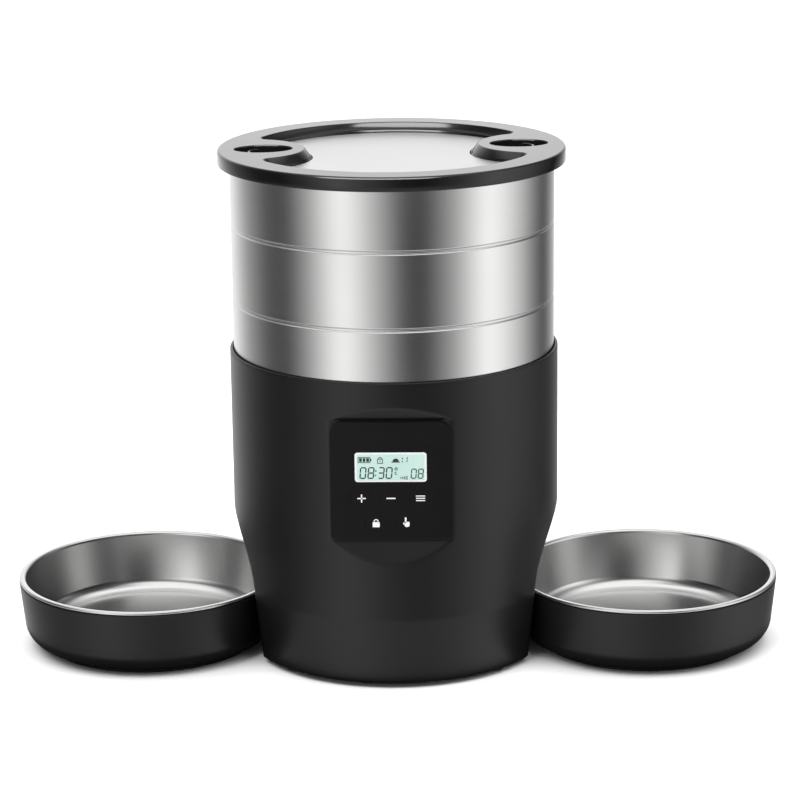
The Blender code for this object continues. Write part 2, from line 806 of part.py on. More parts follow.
def lobe(side, grow=0.0):
    """The raised land around a finger well, drawn past the lid's floor and top."""
    foot, top = LOBE_R
    slope = (foot - top) / (LID_TOP - LID_FLOOR_Z[1])
    profile = [
        (0, LID_FLOOR_Z[1] - 1.0),
        (foot + slope + grow, LID_FLOOR_Z[1] - 1.0),
        (top - 2 * slope + grow, LID_TOP + 2.0),
        (0, LID_TOP + 2.0),
    ]
    return lathe("lobe", profile, black_plastic(), MEDIUM, (side * LOBE_X, 0, 0), phase=0.5)


def lid_recess():
    """The stepped hollow in the lid's top, with the two lands left standing."""
    floor = LID_FLOOR_Z[1]
    profile = [
        (0, floor),
        (DISC_R + 0.4, floor),
        (DISC_R + 0.4, LEDGE_Z),
        (RECESS_R - 1.4, LEDGE_Z),
        (RECESS_R, LID_TOP),
        (RECESS_R, LID_TOP + 1),
        (0, LID_TOP + 1),
    ]
    return cut(lathe("recess_tool", profile, black_plastic(), ROUND), lobe(-1), lobe(1))


def lid_top():
    floor = LID_FLOOR_Z[0]
    channel = DRUM_TOP + 2.2
    profile = [
        (0, LID_TOP),
        (LID_R - 1.1, LID_TOP),
        (LID_R, LID_TOP - 1.2),
        (LID_R, LID_SKIRT_Z + 0.6),
        (LID_R - 0.6, LID_SKIRT_Z),
        (DRUM_R + 0.6, LID_SKIRT_Z),
        (DRUM_R + 0.6, channel),
        (PLUG_R, channel),
        (PLUG_R, PLUG_BOTTOM),
        (PLUG_R - 2.5, PLUG_BOTTOM),
        (PLUG_R - 2.5, floor),
        (0, floor),
    ]
    top = lathe("lid_top", profile, black_plastic(), ROUND)
    cut(top, lid_recess())
    for side in (-1, 1):
        boss_x = sorted((side * SPRING_BOSS_X[0], side * SPRING_BOSS_X[1]))
        add(top, box("boss", boss_x, (-4, 4), (PLUG_BOTTOM + 0.4, floor + 0.5), black_plastic()))
        finger_wells(top, side)
    return turn_with_lid(top)


def finger_wells(top, side):
    """Cuts an oval well, the latch's slot in its floor and its notch in the plug."""
    half_x, half_y = WELL_HALF
    turn = [2 * math.pi * k / 20 for k in range(20)]
    oval = [(side * WELL_X + half_x * math.cos(a), half_y * math.sin(a)) for a in turn]
    well = prism("well_tool", oval, (LID_FLOOR_Z[1], LID_TOP + 1), black_plastic())
    half = LATCH_HALF_WIDTH + 0.6
    slot_x = sorted((side * (LATCH_PAD_X[0] - LATCH_TRAVEL - 0.5), side * (LATCH_PAD_X[1] + 0.5)))
    slot = box("slot_tool", slot_x, (-half, half), (PLUG_BOTTOM, LID_FLOOR_Z[1] + 1), black_plastic())
    notch_x = sorted((side * (PLUG_R - 4), side * (PLUG_R + 1)))
    notch_z = (PLUG_BOTTOM - 1, LATCH_PLATE_Z[1] + 0.5)
    notch = box("notch_tool", notch_x, (-half, half), notch_z, black_plastic())
    cut(top, well, slot, notch)


def lid_disc():
    disc = rod("lid_disc", DISC_R, DISC_Z, silver_disc(), ROUND)
    cut(disc, lobe(-1, 0.5), lobe(1, 0.5))
    return turn_with_lid(disc)


def lid_inner_parts():
    seal = (DRUM_TOP + GAP, DRUM_TOP + 2.2 - GAP)
    ring("lid_seal", CURL_R + 0.1, DRUM_R + 0.2, seal, silicone(), ROUND)
    liner = (PLUG_BOTTOM - 2.1, PLUG_BOTTOM - GAP)
    ring("lid_liner", DESICCANT_R + 0.4, PLUG_R - 0.4, liner, white_plastic(), MEDIUM)
    low, high = DESICCANT_Z
    outer, inner = DESICCANT_R, DESICCANT_R - 2.4
    holder = [
        (0, high),
        (outer, high),
        (outer, low + 4.0),
        (inner, low + 4.0),
        (inner, high - 2.0),
        (0, high - 2.0),
    ]
    lathe("desiccant_holder", holder, white_plastic(), MEDIUM)
    cap = [
        (0, low),
        (outer, low),
        (outer, low + 3.6),
        (inner - 0.4, low + 3.6),
        (inner - 0.4, low + 10.0),
        (inner - 2.4, low + 10.0),
        (inner - 2.4, low + 1.8),
        (0, low + 1.8),
    ]
    cover = lathe("desiccant_cap", cap, white_plastic(), MEDIUM)
    for y in (-8.0, 8.0):
        cut(cover, box("vent_tool", (-15, 15), (y - 1.2, y + 1.2), (low - 1, low + 3), white_plastic()))


def latches():
    """A sprung slide behind each finger well holds the lid under the drum's curl."""
    for side in (-1, 1):
        half = LATCH_HALF_WIDTH
        low, high = LATCH_PLATE_Z
        plate_x = sorted((side * LATCH_REAR_X, side * PLUG_R))
        name = body_names(side)
        latch = box(f"latch_{name}", plate_x, (-half, half), LATCH_PLATE_Z, black_plastic())
        pad_x = sorted((side * LATCH_PAD_X[0], side * LATCH_PAD_X[1]))
        add(latch, box("pad", pad_x, (-half, half), (high - 0.6, LID_TOP - 1.6), black_plastic()))
        turn_with_lid(latch)
        turn_with_lid(coil_spring(f"latch_spring_{name}", side))


def coil_spring(name, side):
    """A compression spring along X between the lid's boss and the latch."""
    start = SPRING_BOSS_X[1] + GAP + SPRING_WIRE_R
    length = LATCH_REAR_X - GAP - SPRING_WIRE_R - start
    around = 8
    steps = SPRING_TURNS * around
    height = PLUG_BOTTOM + 2.0
    shape = bmesh.new()
    sections = []
    for k in range(steps + 1):
        turn = 2 * math.pi * k / around
        out = Vector((0, math.cos(turn), math.sin(turn)))
        middle = Vector((start + length * k / steps, 0, 0)) + out * SPRING_COIL_R
        spokes = [out, Vector((1, 0, 0)), -out, Vector((-1, 0, 0))]
        points = [middle + spoke * SPRING_WIRE_R for spoke in spokes]
        sections.append([shape.verts.new((side * p.x, p.y, p.z)) for p in points])
    for near, far in zip(sections, sections[1:]):
        for k in range(4):
            after = (k + 1) % 4
            shape.faces.new((near[k], near[after], far[after], far[k]))
    shape.faces.new(sections[0])
    shape.faces.new(sections[-1])
    return finish(name, shape, steel(), (0, 0, height))


# ---- trays and bowls -------------------------------------------------------------


def tray(side):
    """A black dish that carries a steel bowl and docks into the housing by its tongue."""
    foot, fillet = TRAY_FOOT_R, TRAY_FILLET
    outside = [
        (0, 2.6),
        (foot - 4.0, 2.6),
        (foot - 4.0, 0),
        (foot, 0),
        *arc((foot, 2.8 + fillet), fillet, -90, -4, 3),
        (TRAY_RIM_R, TRAY_TOP),
        (0, TRAY_TOP),
    ]
    inside = [
        (0, 2.8 + TRAY_WALL),
        *arc((foot, 2.8 + fillet), fillet - TRAY_WALL, -90, -4, 3),
        (TRAY_RIM_R - TRAY_WALL, TRAY_TOP),
        (TRAY_RIM_R - TRAY_WALL, TRAY_TOP + 1),
        (0, TRAY_TOP + 1),
    ]
    at = (side * BOWL_X, 0, 0)
    dish = lathe(f"tray_{body_names(side)}", outside, black_plastic(), ROUND, at)
    end, half, heights = TONGUE
    tongue_x = sorted((side * end, side * (end + 30)))
    add(dish, box("tongue", tongue_x, (-half, half), heights, black_plastic()))
    return cut(dish, lathe("dish_tool", inside, black_plastic(), ROUND, at))


def bowl(side):
    """A pressed steel bowl whose rolled rim rests on the tray."""
    sheet = BOWL_SHEET
    under = TRAY_TOP + GAP
    step, floor = BOWL_STEP_Z, BOWL_FLOOR_R
    wall = BOWL_RIM_R - 3.4
    centre = (floor, BOWL_FLOOR_Z + BOWL_FILLET)
    outside = [
        (0, BOWL_FLOOR_Z),
        *arc(centre, BOWL_FILLET, -90, -16, 2),
        (wall, step),
        (wall, under),
        (BOWL_RIM_R, under),
        (BOWL_RIM_R, BOWL_RIM_TOP),
    ]
    inside = [
        (wall - sheet, BOWL_RIM_TOP - 1.0),
        (wall - sheet, step),
        *arc(centre, BOWL_FILLET - sheet, -16, -90, 2),
        (0, BOWL_FLOOR_Z + sheet),
    ]
    name = f"bowl_{body_names(side)}"
    return lathe(name, outside + inside, steel(), ROUND, (side * BOWL_X, 0, 0))


def main():
    for leftover in list(bpy.data.objects):
        bpy.data.objects.remove(leftover)
    housing()
    base_plate()
    feet()
    base_screws()
    battery_parts()
    battery_door()
    power_socket()
    panel_plate()
    keys()
    display()
    hopper_funnel()
    dispenser_housing()
    rotor_group()
    bushes()
    portion_switch()
    splitter_chute()
    gear_case()
    motor()
    drum()
    lid_top()
    lid_disc()
    lid_inner_parts()
    latches()
    for side in (-1, 1):
        tray(side)
        bowl(side)


main()
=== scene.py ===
"""Looks of the automatic pet feeder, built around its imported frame.

Lengths are in millimetres and become metres when a mesh is made, except for the camera
and the lights, which are in metres. Sizes come from the frame's nodes where it has them.
"""

import math

import bmesh
import bpy
import numpy as np
from mathutils import Matrix, Vector

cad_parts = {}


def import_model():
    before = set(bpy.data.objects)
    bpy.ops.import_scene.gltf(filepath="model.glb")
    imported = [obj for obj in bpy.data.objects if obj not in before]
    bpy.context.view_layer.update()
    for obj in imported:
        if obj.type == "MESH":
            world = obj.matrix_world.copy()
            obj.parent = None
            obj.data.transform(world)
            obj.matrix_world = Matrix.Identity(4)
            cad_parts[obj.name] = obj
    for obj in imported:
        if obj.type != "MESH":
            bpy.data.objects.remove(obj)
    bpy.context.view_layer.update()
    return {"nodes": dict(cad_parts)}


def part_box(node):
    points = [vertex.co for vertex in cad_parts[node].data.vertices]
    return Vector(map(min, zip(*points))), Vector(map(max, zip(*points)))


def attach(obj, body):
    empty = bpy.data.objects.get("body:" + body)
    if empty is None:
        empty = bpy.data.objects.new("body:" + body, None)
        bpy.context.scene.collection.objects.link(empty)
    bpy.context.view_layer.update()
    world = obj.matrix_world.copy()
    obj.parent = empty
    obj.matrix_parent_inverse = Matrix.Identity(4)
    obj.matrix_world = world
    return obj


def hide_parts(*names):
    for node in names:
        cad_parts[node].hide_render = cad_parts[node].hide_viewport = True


MM = 0.001
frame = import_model()


def span(node):
    """Lowest and highest corner of a CAD node, in millimetres."""
    low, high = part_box(node)
    return low / MM, high / MM


# ---- sizes -----------------------------------------------------------------------

HOUSING = span("housing")
BODY_R = HOUSING[1].x
BODY_BOTTOM = HOUSING[0].z
BODY_TOP = HOUSING[1].z
BODY_FOOT_R = BODY_R - 5.5
TAPER = (5.0, 45.0)
WALL = 2.5
SHELF_Z = 178.0  # where the drum stands in the housing
SHELF_R = 94.0
WINDOW = (64.25, 43.0, 23.5)  # delivery window: middle height, width and height
DOCK = (10.8, 30.0, 6.0)  # tray dock, in the same way
SOCKET_Z = 22.0
SOCKET_R = 5.5

DRUM = span("drum")
DRUM_R = DRUM[1].x
DRUM_SHEET = 0.8
GROOVE_Z = (222.0, 268.0)
GROOVE_DEPTH = 1.0

BOWL_RIGHT = span("bowl_right")
BOWL_X = (BOWL_RIGHT[0].x + BOWL_RIGHT[1].x) / 2
BOWL_R = (BOWL_RIGHT[1].x - BOWL_RIGHT[0].x) / 2
BOWL_TOP = BOWL_RIGHT[1].z
BOWL_FLOOR = BOWL_RIGHT[0].z
TRAY_TOP = span("tray_right")[1].z
TRAY_R = span("tray_right")[1].x - BOWL_X
SCOOP_R = 85.0
SCOOP_DOME = (42.8, 59.6)  # centre height and rise
CREASE = 11.0  # how far the crease around a scoop is blended
SCOOP_POWER = 1.87  # how square the dome's shoulder is, where 2 is an ellipse

LID_YAW = math.radians(5.1)
LID_R = 105.5
LID_TOP = span("lid_top")[1].z
SKIRT_Z = 305.0
DISC_TOP = span("lid_disc")[1].z
DISC_R = 82.0
RECESS_R = 89.0  # the dished middle, measured at the lid's top face
RECESS_LOBE_R = 34.5
LEDGE_Z = 309.5  # the step around the silver disc
RECESS_FLOOR = 306.8
UNDER_Z = (300.0, 304.3)  # underside of the lid's ring and of its middle
LOBE_X = 88.0
LOBE_R = 35.5
LOBE_SPREAD = 5.0  # how much a lobe grows over LOBE_DEPTH
LOBE_DEPTH = 6.9
WELL_X = 77.5
WELL_SIZE = (17.7, 13.0)  # half length and half width of a finger well
WELL_LIP = 0.9

PANEL = span("panel_plate")
LCD = span("display_window")
FACET_Y = -94.0
FACET_Z = (94.0, 167.5)
FACET_SLOPES = (0.5, 0.8)  # how it falls away below and above

LENS_HOLE = (43.0, 18.6)  # width and height
LENS_SIZE = (42.4, 18.0)
FIELD_SIZE = (40.0, 15.9)  # the lit part of the display
KEY_HOLE = (12.64, 8.24)
KEY_SIZE = (12.4, 8.0)

ROUND = 192  # sides of a turned shape

CAMERA_AT = (0.0502, -1.6731, 0.6043)  # metres
CAMERA_LENS = 125.9
CAMERA_YAW = 1.605  # degrees to the left
CAMERA_DOWN = 15.048  # degrees below level
CAMERA_ROLL = -0.72


# ---- camera ----------------------------------------------------------------------


def camera():
    data = bpy.data.cameras.new("camera")
    data.sensor_width = 36.0
    data.lens = CAMERA_LENS
    data.clip_end = 50.0
    view = bpy.data.objects.new("camera", data)
    bpy.context.scene.collection.objects.link(view)
    yaw = Matrix.Rotation(math.radians(CAMERA_YAW), 4, "Z")
    tilt = Matrix.Rotation(math.radians(90 - CAMERA_DOWN), 4, "X")
    roll = Matrix.Rotation(math.radians(CAMERA_ROLL), 4, "Z")
    view.matrix_world = Matrix.Translation(CAMERA_AT) @ yaw @ tilt @ roll
    bpy.context.scene.camera = view


camera()


# ---- node helpers ----------------------------------------------------------------


class Nodes:
    """A short way to write a node tree."""

    def __init__(self, tree):
        self.tree = tree

    def add(self, kind, **settings):
        node = self.tree.nodes.new(kind)
        for name, value in settings.items():
            setattr(node, name, value)
        return node

    def link(self, source, target):
        self.tree.links.new(source, target)

    def math(self, operation, first, second=None):
        node = self.add("ShaderNodeMath", operation=operation)
        for socket, value in zip(node.inputs, (first, second)):
            if value is None:
                continue
            if isinstance(value, (int, float)):
                socket.default_value = value
            else:
                self.link(value, socket)
        return node.outputs[0]

    def ramp(self, factor, stops, blend="LINEAR"):
        node = self.add("ShaderNodeValToRGB")
        node.color_ramp.interpolation = blend
        elements = node.color_ramp.elements
        while len(elements) < len(stops):
            elements.new(0.5)
        for element, (place, colour) in zip(elements, stops):
            element.position = place
            element.color = (*colour, 1.0) if isinstance(colour, tuple) else (colour, colour, colour, 1.0)
        self.link(factor, node.inputs[0])
        return node.outputs[0]

    def noise(self, vector, scale, detail=3.0, roughness=0.5):
        node = self.add("ShaderNodeTexNoise")
        node.inputs["Scale"].default_value = scale
        node.inputs["Detail"].default_value = detail
        node.inputs["Roughness"].default_value = roughness
        self.link(vector, node.inputs["Vector"])
        return node.outputs[0]

    def bump(self, height, distance, strength):
        node = self.add("ShaderNodeBump")
        node.inputs["Strength"].default_value = strength
        node.inputs["Distance"].default_value = distance
        self.link(height, node.inputs["Height"])
        return node.outputs[0]

    def between(self, factor, low, high):
        """A value that goes from low to high as the factor goes from 0 to 1."""
        made = self.math("MULTIPLY_ADD", factor, high - low)
        made.node.inputs[2].default_value = low
        return made

    def paint(self, shader, factor, dark, light):
        """Base colour between two tones, each given as (place on the factor, colour)."""
        self.link(self.ramp(factor, [dark, light]), shader.inputs["Base Color"])


def new_material(name):
    """A material with only its Principled shader; returns it, its nodes and the shader."""
    made = bpy.data.materials.new(name)
    made.use_nodes = True
    return made, Nodes(made.node_tree), made.node_tree.nodes["Principled BSDF"]


def object_place(nodes):
    return nodes.add("ShaderNodeTexCoord").outputs["Object"]


# ---- materials -------------------------------------------------------------------

_made = {}


def once(build):
    """Keeps one copy of each material."""

    def get(*args):
        key = (build.__name__, args)
        if key not in _made:
            _made[key] = build(*args)
        return _made[key]

    return get


@once
def moulded(name, dark, light, rough, grain=0.25, depth=0.02, gloss=0.4):
    """Moulded plastic: a fine eroded grain, with faint flow marks in colour and gloss.

    rough is (least, most) roughness, and grain and depth are the grain's size and height.
    """
    made, nodes, shader = new_material(name)
    place = object_place(nodes)
    fine = nodes.noise(place, 1.0 / (grain * MM), 2.0, 0.6)
    broad = nodes.noise(place, 14.0, 3.0)
    nodes.paint(shader, broad, (0.3, dark), (0.75, light))
    nodes.link(nodes.between(broad, *rough), shader.inputs["Roughness"])
    nodes.link(nodes.bump(fine, depth * MM, 0.55), shader.inputs["Normal"])
    shader.inputs["Specular IOR Level"].default_value = gloss
    return made


def satin_black():
    dark, light = (0.004, 0.004, 0.0042), (0.0056, 0.0056, 0.0059)
    return moulded("satin_black", dark, light, (0.34, 0.44), 0.25, 0.02, 0.37)


def lid_black():
    dark, light = (0.005, 0.005, 0.0053), (0.007, 0.007, 0.0073)
    return moulded("lid_black", dark, light, (0.12, 0.18), 0.25, 0.006, 0.42)


def inner_black():
    return moulded("inner_black", (0.02, 0.02, 0.021), (0.032, 0.032, 0.034), (0.5, 0.62), 0.3, 0.03)


def inner_grey():
    return moulded("inner_grey", (0.05, 0.05, 0.052), (0.075, 0.075, 0.078), (0.5, 0.62), 0.3, 0.03)


def inner_white():
    return moulded("inner_white", (0.62, 0.62, 0.6), (0.72, 0.72, 0.7), (0.38, 0.5), 0.3, 0.02)


def rubber_black():
    return moulded("rubber_black", (0.016, 0.016, 0.016), (0.03, 0.03, 0.03), (0.75, 0.9), 0.2, 0.05)


def silicone():
    return moulded("silicone_milk", (0.5, 0.5, 0.48), (0.6, 0.6, 0.58), (0.42, 0.55), 0.5, 0.02)


@once
def gloss_black():
    """Polished black plastic with the slight orange peel of a moulded face."""
    made, nodes, shader = new_material("gloss_black")
    place = object_place(nodes)
    peel = nodes.noise(place, 900.0, 1.0)
    smudge = nodes.noise(place, 60.0, 4.0)
    nodes.paint(shader, smudge, (0.3, (0.003, 0.003, 0.0031)), (0.8, (0.0045, 0.0045, 0.0046)))
    nodes.link(nodes.between(smudge, 0.06, 0.16), shader.inputs["Roughness"])
    nodes.link(nodes.bump(peel, 0.004 * MM, 0.35), shader.inputs["Normal"])
    shader.inputs["Specular IOR Level"].default_value = 0.3
    return made


ALONG_BRUSHING = 2.2  # noise cells per radian around the axis: low, so that scratches run long


@once
def brushed(name, x, y, base, rough, grain):
    """Steel brushed around an upright axis at (x, y) millimetres."""
    made, nodes, shader = new_material(name)
    split = nodes.add("ShaderNodeSeparateXYZ")
    nodes.link(object_place(nodes), split.inputs[0])
    dx = nodes.math("SUBTRACT", split.outputs[0], x * MM)
    dy = nodes.math("SUBTRACT", split.outputs[1], y * MM)
    squares = nodes.math("ADD", nodes.math("MULTIPLY", dx, dx), nodes.math("MULTIPLY", dy, dy))
    radius = nodes.math("SQRT", squares)
    safe = nodes.math("MAXIMUM", radius, 1e-4)
    across = nodes.math("ADD", radius, split.outputs[2])
    lines = nodes.add("ShaderNodeCombineXYZ")
    nodes.link(nodes.math("MULTIPLY", nodes.math("DIVIDE", dx, safe), ALONG_BRUSHING), lines.inputs[0])
    nodes.link(nodes.math("MULTIPLY", nodes.math("DIVIDE", dy, safe), ALONG_BRUSHING), lines.inputs[1])
    nodes.link(nodes.math("MULTIPLY", across, 1.0 / (grain * MM)), lines.inputs[2])
    scratch = nodes.noise(lines.outputs[0], 1.0, 3.0, 0.65)
    cloud = nodes.noise(object_place(nodes), 22.0, 3.0)
    tone = nodes.ramp(scratch, [(0.25, tuple(0.93 * c for c in base)), (0.75, base)])
    nodes.link(tone, shader.inputs["Base Color"])
    both = nodes.math("ADD", nodes.math("MULTIPLY", scratch, 0.6), nodes.math("MULTIPLY", cloud, 0.4))
    nodes.link(nodes.between(both, *rough), shader.inputs["Roughness"])
    nodes.link(nodes.bump(scratch, 0.004 * MM, 0.4), shader.inputs["Normal"])
    shader.inputs["Metallic"].default_value = 1.0
    shader.inputs["Anisotropic"].default_value = 0.75
    shader.inputs["Anisotropic Rotation"].default_value = 0.0
    tangent = nodes.add("ShaderNodeTangent", direction_type="RADIAL", axis="Z")
    nodes.link(tangent.outputs[0], shader.inputs["Tangent"])
    return made


def drum_steel():
    return brushed("drum_steel", 0.0, 0.0, (0.66, 0.66, 0.655), (0.16, 0.26), 0.16)


def bowl_steel(side):
    name = "bowl_steel_left" if side < 0 else "bowl_steel_right"
    return brushed(name, side * BOWL_X, 0.0, (0.64, 0.64, 0.635), (0.16, 0.26), 0.22)


@once
def plated():
    made, nodes, shader = new_material("plated_steel")
    fine = nodes.noise(object_place(nodes), 700.0, 3.0)
    nodes.paint(shader, fine, (0.3, (0.45, 0.45, 0.46)), (0.7, (0.6, 0.6, 0.6)))
    nodes.link(nodes.between(fine, 0.22, 0.42), shader.inputs["Roughness"])
    nodes.link(nodes.bump(fine, 0.01 * MM, 0.4), shader.inputs["Normal"])
    shader.inputs["Metallic"].default_value = 1.0
    return made


@once
def brass():
    made, nodes, shader = new_material("brass")
    fine = nodes.noise(object_place(nodes), 500.0, 3.0)
    nodes.paint(shader, fine, (0.3, (0.55, 0.36, 0.13)), (0.7, (0.72, 0.5, 0.2)))
    nodes.link(nodes.between(fine, 0.25, 0.45), shader.inputs["Roughness"])
    nodes.link(nodes.bump(fine, 0.01 * MM, 0.4), shader.inputs["Normal"])
    shader.inputs["Metallic"].default_value = 1.0
    return made


@once
def silver_disc():
    """Silver-painted disc with a fine metallic flake."""
    made, nodes, shader = new_material("silver_disc")
    place = object_place(nodes)
    flake = nodes.noise(place, 2600.0, 2.0)
    cloud = nodes.noise(place, 12.0, 2.0)
    nodes.paint(shader, flake, (0.3, (0.46, 0.46, 0.46)), (0.7, (0.54, 0.54, 0.54)))
    nodes.link(nodes.between(cloud, 0.3, 0.4), shader.inputs["Roughness"])
    nodes.link(nodes.bump(flake, 0.004 * MM, 0.3), shader.inputs["Normal"])
    shader.inputs["Metallic"].default_value = 0.85
    return made


@once
def printed(name, colour, rough):
    """Screen-printed ink, very slightly mottled."""
    made, nodes, shader = new_material(name)
    spots = nodes.noise(object_place(nodes), 1800.0, 2.0)
    dim = tuple(0.93 * c for c in colour)
    nodes.paint(shader, spots, (0.3, dim), (0.7, colour))
    nodes.link(nodes.bump(spots, 0.004 * MM, 0.3), shader.inputs["Normal"])
    shader.inputs["Roughness"].default_value = rough
    return made


@once
def lcd_glow():
    """The lit reflector behind the liquid crystal, its tint varying faintly at random."""
    made, nodes, shader = new_material("lcd_glow")
    place = object_place(nodes)
    cloud = nodes.noise(place, 45.0, 2.0)
    tint = nodes.ramp(cloud, [(0.2, (0.46, 0.63, 0.58)), (0.8, (0.52, 0.70, 0.65))])
    nodes.link(tint, shader.inputs["Base Color"])
    nodes.link(tint, shader.inputs["Emission Color"])
    shader.inputs["Emission Strength"].default_value = 0.05
    shader.inputs["Roughness"].default_value = 0.22
    fine = nodes.noise(place, 2000.0, 1.0)
    nodes.link(nodes.bump(fine, 0.003 * MM, 0.2), shader.inputs["Normal"])
    return made


@once
def circuit_board():
    made, nodes, shader = new_material("circuit_board")
    place = object_place(nodes)
    traces = nodes.noise(place, 320.0, 4.0)
    nodes.paint(shader, traces, (0.48, (0.01, 0.09, 0.03)), (0.52, (0.02, 0.16, 0.06)))
    nodes.link(nodes.bump(traces, 0.03 * MM, 0.4), shader.inputs["Normal"])
    shader.inputs["Roughness"].default_value = 0.4
    return made


@once
def cell_wrap():
    made, nodes, shader = new_material("cell_wrap")
    place = object_place(nodes)
    foil = nodes.noise(place, 120.0, 3.0)
    nodes.paint(shader, foil, (0.3, (0.07, 0.11, 0.28)), (0.7, (0.1, 0.15, 0.36)))
    nodes.link(nodes.bump(foil, 0.02 * MM, 0.4), shader.inputs["Normal"])
    shader.inputs["Roughness"].default_value = 0.3
    return made


# ---- mesh helpers ----------------------------------------------------------------


class Shape:
    """Collects vertices (in millimetres) and faces for one piece."""

    def __init__(self):
        self.points = []
        self.faces = []

    def ring(self, points):
        start = len(self.points)
        self.points += [tuple(p) for p in points]
        return list(range(start, start + len(points)))

    def strip(self, near, far, closed=True):
        """Quads between two rings that have as many points."""
        count = len(near)
        for k in range(count if closed else count - 1):
            after = (k + 1) % count
            self.faces.append((near[k], near[after], far[after], far[k]))

    def loft(self, rings, closed=True, around=False):
        """Strips between the rings in turn, and back to the first if it goes around."""
        made = [self.ring(points) for points in rings]
        for near, far in zip(made, made[1:]):
            self.strip(near, far, closed)
        if around:
            self.strip(made[-1], made[0], closed)
        return made

    def cap(self, ring):
        self.faces.append(tuple(ring))

    def lathe(self, profile, centre=(0.0, 0.0), sides=ROUND, around=False):
        """Turns (radius, z) points about an upright axis; a zero radius ends in a cap."""
        turn = [2 * math.pi * k / sides for k in range(sides)]
        solid = [(max(r, 0.0), z) for r, z in profile if r > 1e-6]
        rings = [
            [(centre[0] + r * math.cos(a), centre[1] + r * math.sin(a), z) for a in turn] for r, z in solid
        ]
        made = self.loft(rings, True, around)
        if profile[0][0] <= 1e-6:
            self.cap(made[0])
        if profile[-1][0] <= 1e-6:
            self.cap(made[-1])
        return made

    def fill(self, loops, z):
        """A flat face at height z between an outer loop and the holes in it."""
        flat = bmesh.new()
        edges = []
        for loop in loops:
            verts = [flat.verts.new((x, y, z)) for x, y in loop]
            edges += [flat.edges.new((verts[k], verts[(k + 1) % len(verts)])) for k in range(len(verts))]
        bmesh.ops.triangle_fill(flat, use_beauty=True, use_dissolve=False, edges=edges)
        flat.verts.index_update()
        start = len(self.points)
        self.points += [tuple(v.co) for v in flat.verts]
        self.faces += [tuple(start + v.index for v in face.verts) for face in flat.faces]
        flat.free()

    def object(self, name, surface, angle=30, weld=True):
        """Makes the mesh object, with matching points welded and faces turned out."""
        mesh = bpy.data.meshes.new(name)
        mesh.from_pydata([Vector(p) * MM for p in self.points], [], self.faces)
        shape = bmesh.new()
        shape.from_mesh(mesh)
        if weld:
            bmesh.ops.remove_doubles(shape, verts=shape.verts, dist=0.004 * MM)
        bmesh.ops.recalc_face_normals(shape, faces=shape.faces)
        shape.to_mesh(mesh)
        shape.free()
        mesh.materials.append(surface)
        mesh.shade_smooth()
        mesh.set_sharp_from_angle(angle=math.radians(angle))
        made = bpy.data.objects.new(name, mesh)
        bpy.context.scene.collection.objects.link(made)
        return made


def place(piece, body, slot, *nodes):
    """Puts a finished piece on its body and hides the CAD nodes it stands for; slot is not used."""
    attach(piece, body)
    if nodes:
        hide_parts(*nodes)
    return piece


def arc(centre, radius, start, end, steps):
    turn = [math.radians(start + (end - start) * k / steps) for k in range(steps + 1)]
    return [(centre[0] + radius * math.cos(a), centre[1] + radius * math.sin(a)) for a in turn]


def turned(points, angle):
    c, s = math.cos(angle), math.sin(angle)
    return [(c * p[0] - s * p[1], s * p[0] + c * p[1], *p[2:]) for p in points]


def rounded(x, z, width, height, radii, steps=6):
    """Outline of a rectangle centred on (x, z) with (top, bottom) corner radii."""
    top, bottom = radii
    half_x, half_z = width / 2, height / 2
    outline = arc((x + half_x - bottom, z - half_z + bottom), bottom, -90, 0, steps)
    outline += arc((x + half_x - top, z + half_z - top), top, 0, 90, steps)
    outline += arc((x - half_x + top, z + half_z - top), top, 90, 180, steps)
    return outline + arc((x - half_x + bottom, z - half_z + bottom), bottom, 180, 270, steps)


def smooth_min(a, b, reach):
    """The lesser of two values, blended over reach where they are close."""
    mix = np.clip(0.5 + 0.5 * (b - a) / reach, 0.0, 1.0)
    return b * (1 - mix) + a * mix - reach * mix * (1 - mix)


def cut(target, tool):
    """Takes a closed tool away from target, and removes it."""
    step = target.modifiers.new("cut", "BOOLEAN")
    step.operation = "DIFFERENCE"
    step.solver = "EXACT"
    step.object = tool
    graph = bpy.context.evaluated_depsgraph_get()
    mesh = bpy.data.meshes.new_from_object(target.evaluated_get(graph))
    target.modifiers.clear()
    target.data = mesh
    bpy.data.objects.remove(tool)
    return target


def slab(name, outline, near, far, surface, plane="XZ"):
    """A prism whose outline lies in plane XZ or YZ, between two depths along the other axis."""

    def put(a, b, depth):
        return (a, depth, b) if plane == "XZ" else (depth, a, b)

    shape = Shape()
    rings = shape.loft([[put(a, b, depth) for a, b in outline] for depth in (near, far)])
    shape.cap(rings[0])
    shape.cap(rings[1])
    return shape.object(name, surface)


# ---- housing ---------------------------------------------------------------------


def housing_radius(turn, z):
    """Distance from the middle axis to the housing's outside, where turn 0 is at +X."""
    low, high = TAPER
    share = np.clip((z - low) / (high - low), 0.0, 1.0)
    radius = BODY_FOOT_R + (BODY_R - BODY_FOOT_R) * share
    c, s = np.cos(turn), np.sin(turn)
    dome_z, rise = SCOOP_DOME
    lift = np.clip((z - dome_z) / rise, 0.0, 0.999)
    reach = SCOOP_R * (1.0 - lift**SCOOP_POWER) ** (1.0 / SCOOP_POWER)
    inside = reach**2 - (BOWL_X * s) ** 2
    near = BOWL_X * np.abs(c) - np.sqrt(np.maximum(inside, 0.0))
    scoop = np.where(inside > 0.0, near, 200.0)
    radius = smooth_min(radius, scoop, CREASE)
    bottom, top = FACET_Z
    below, above = FACET_SLOPES
    depth = np.maximum(-FACET_Y, np.maximum(-FACET_Y + above * (z - top), -FACET_Y + below * (bottom - z)))
    facet = np.where(s < -0.3, depth / np.maximum(-s, 0.3), 500.0)
    return smooth_min(radius, facet, 0.6)


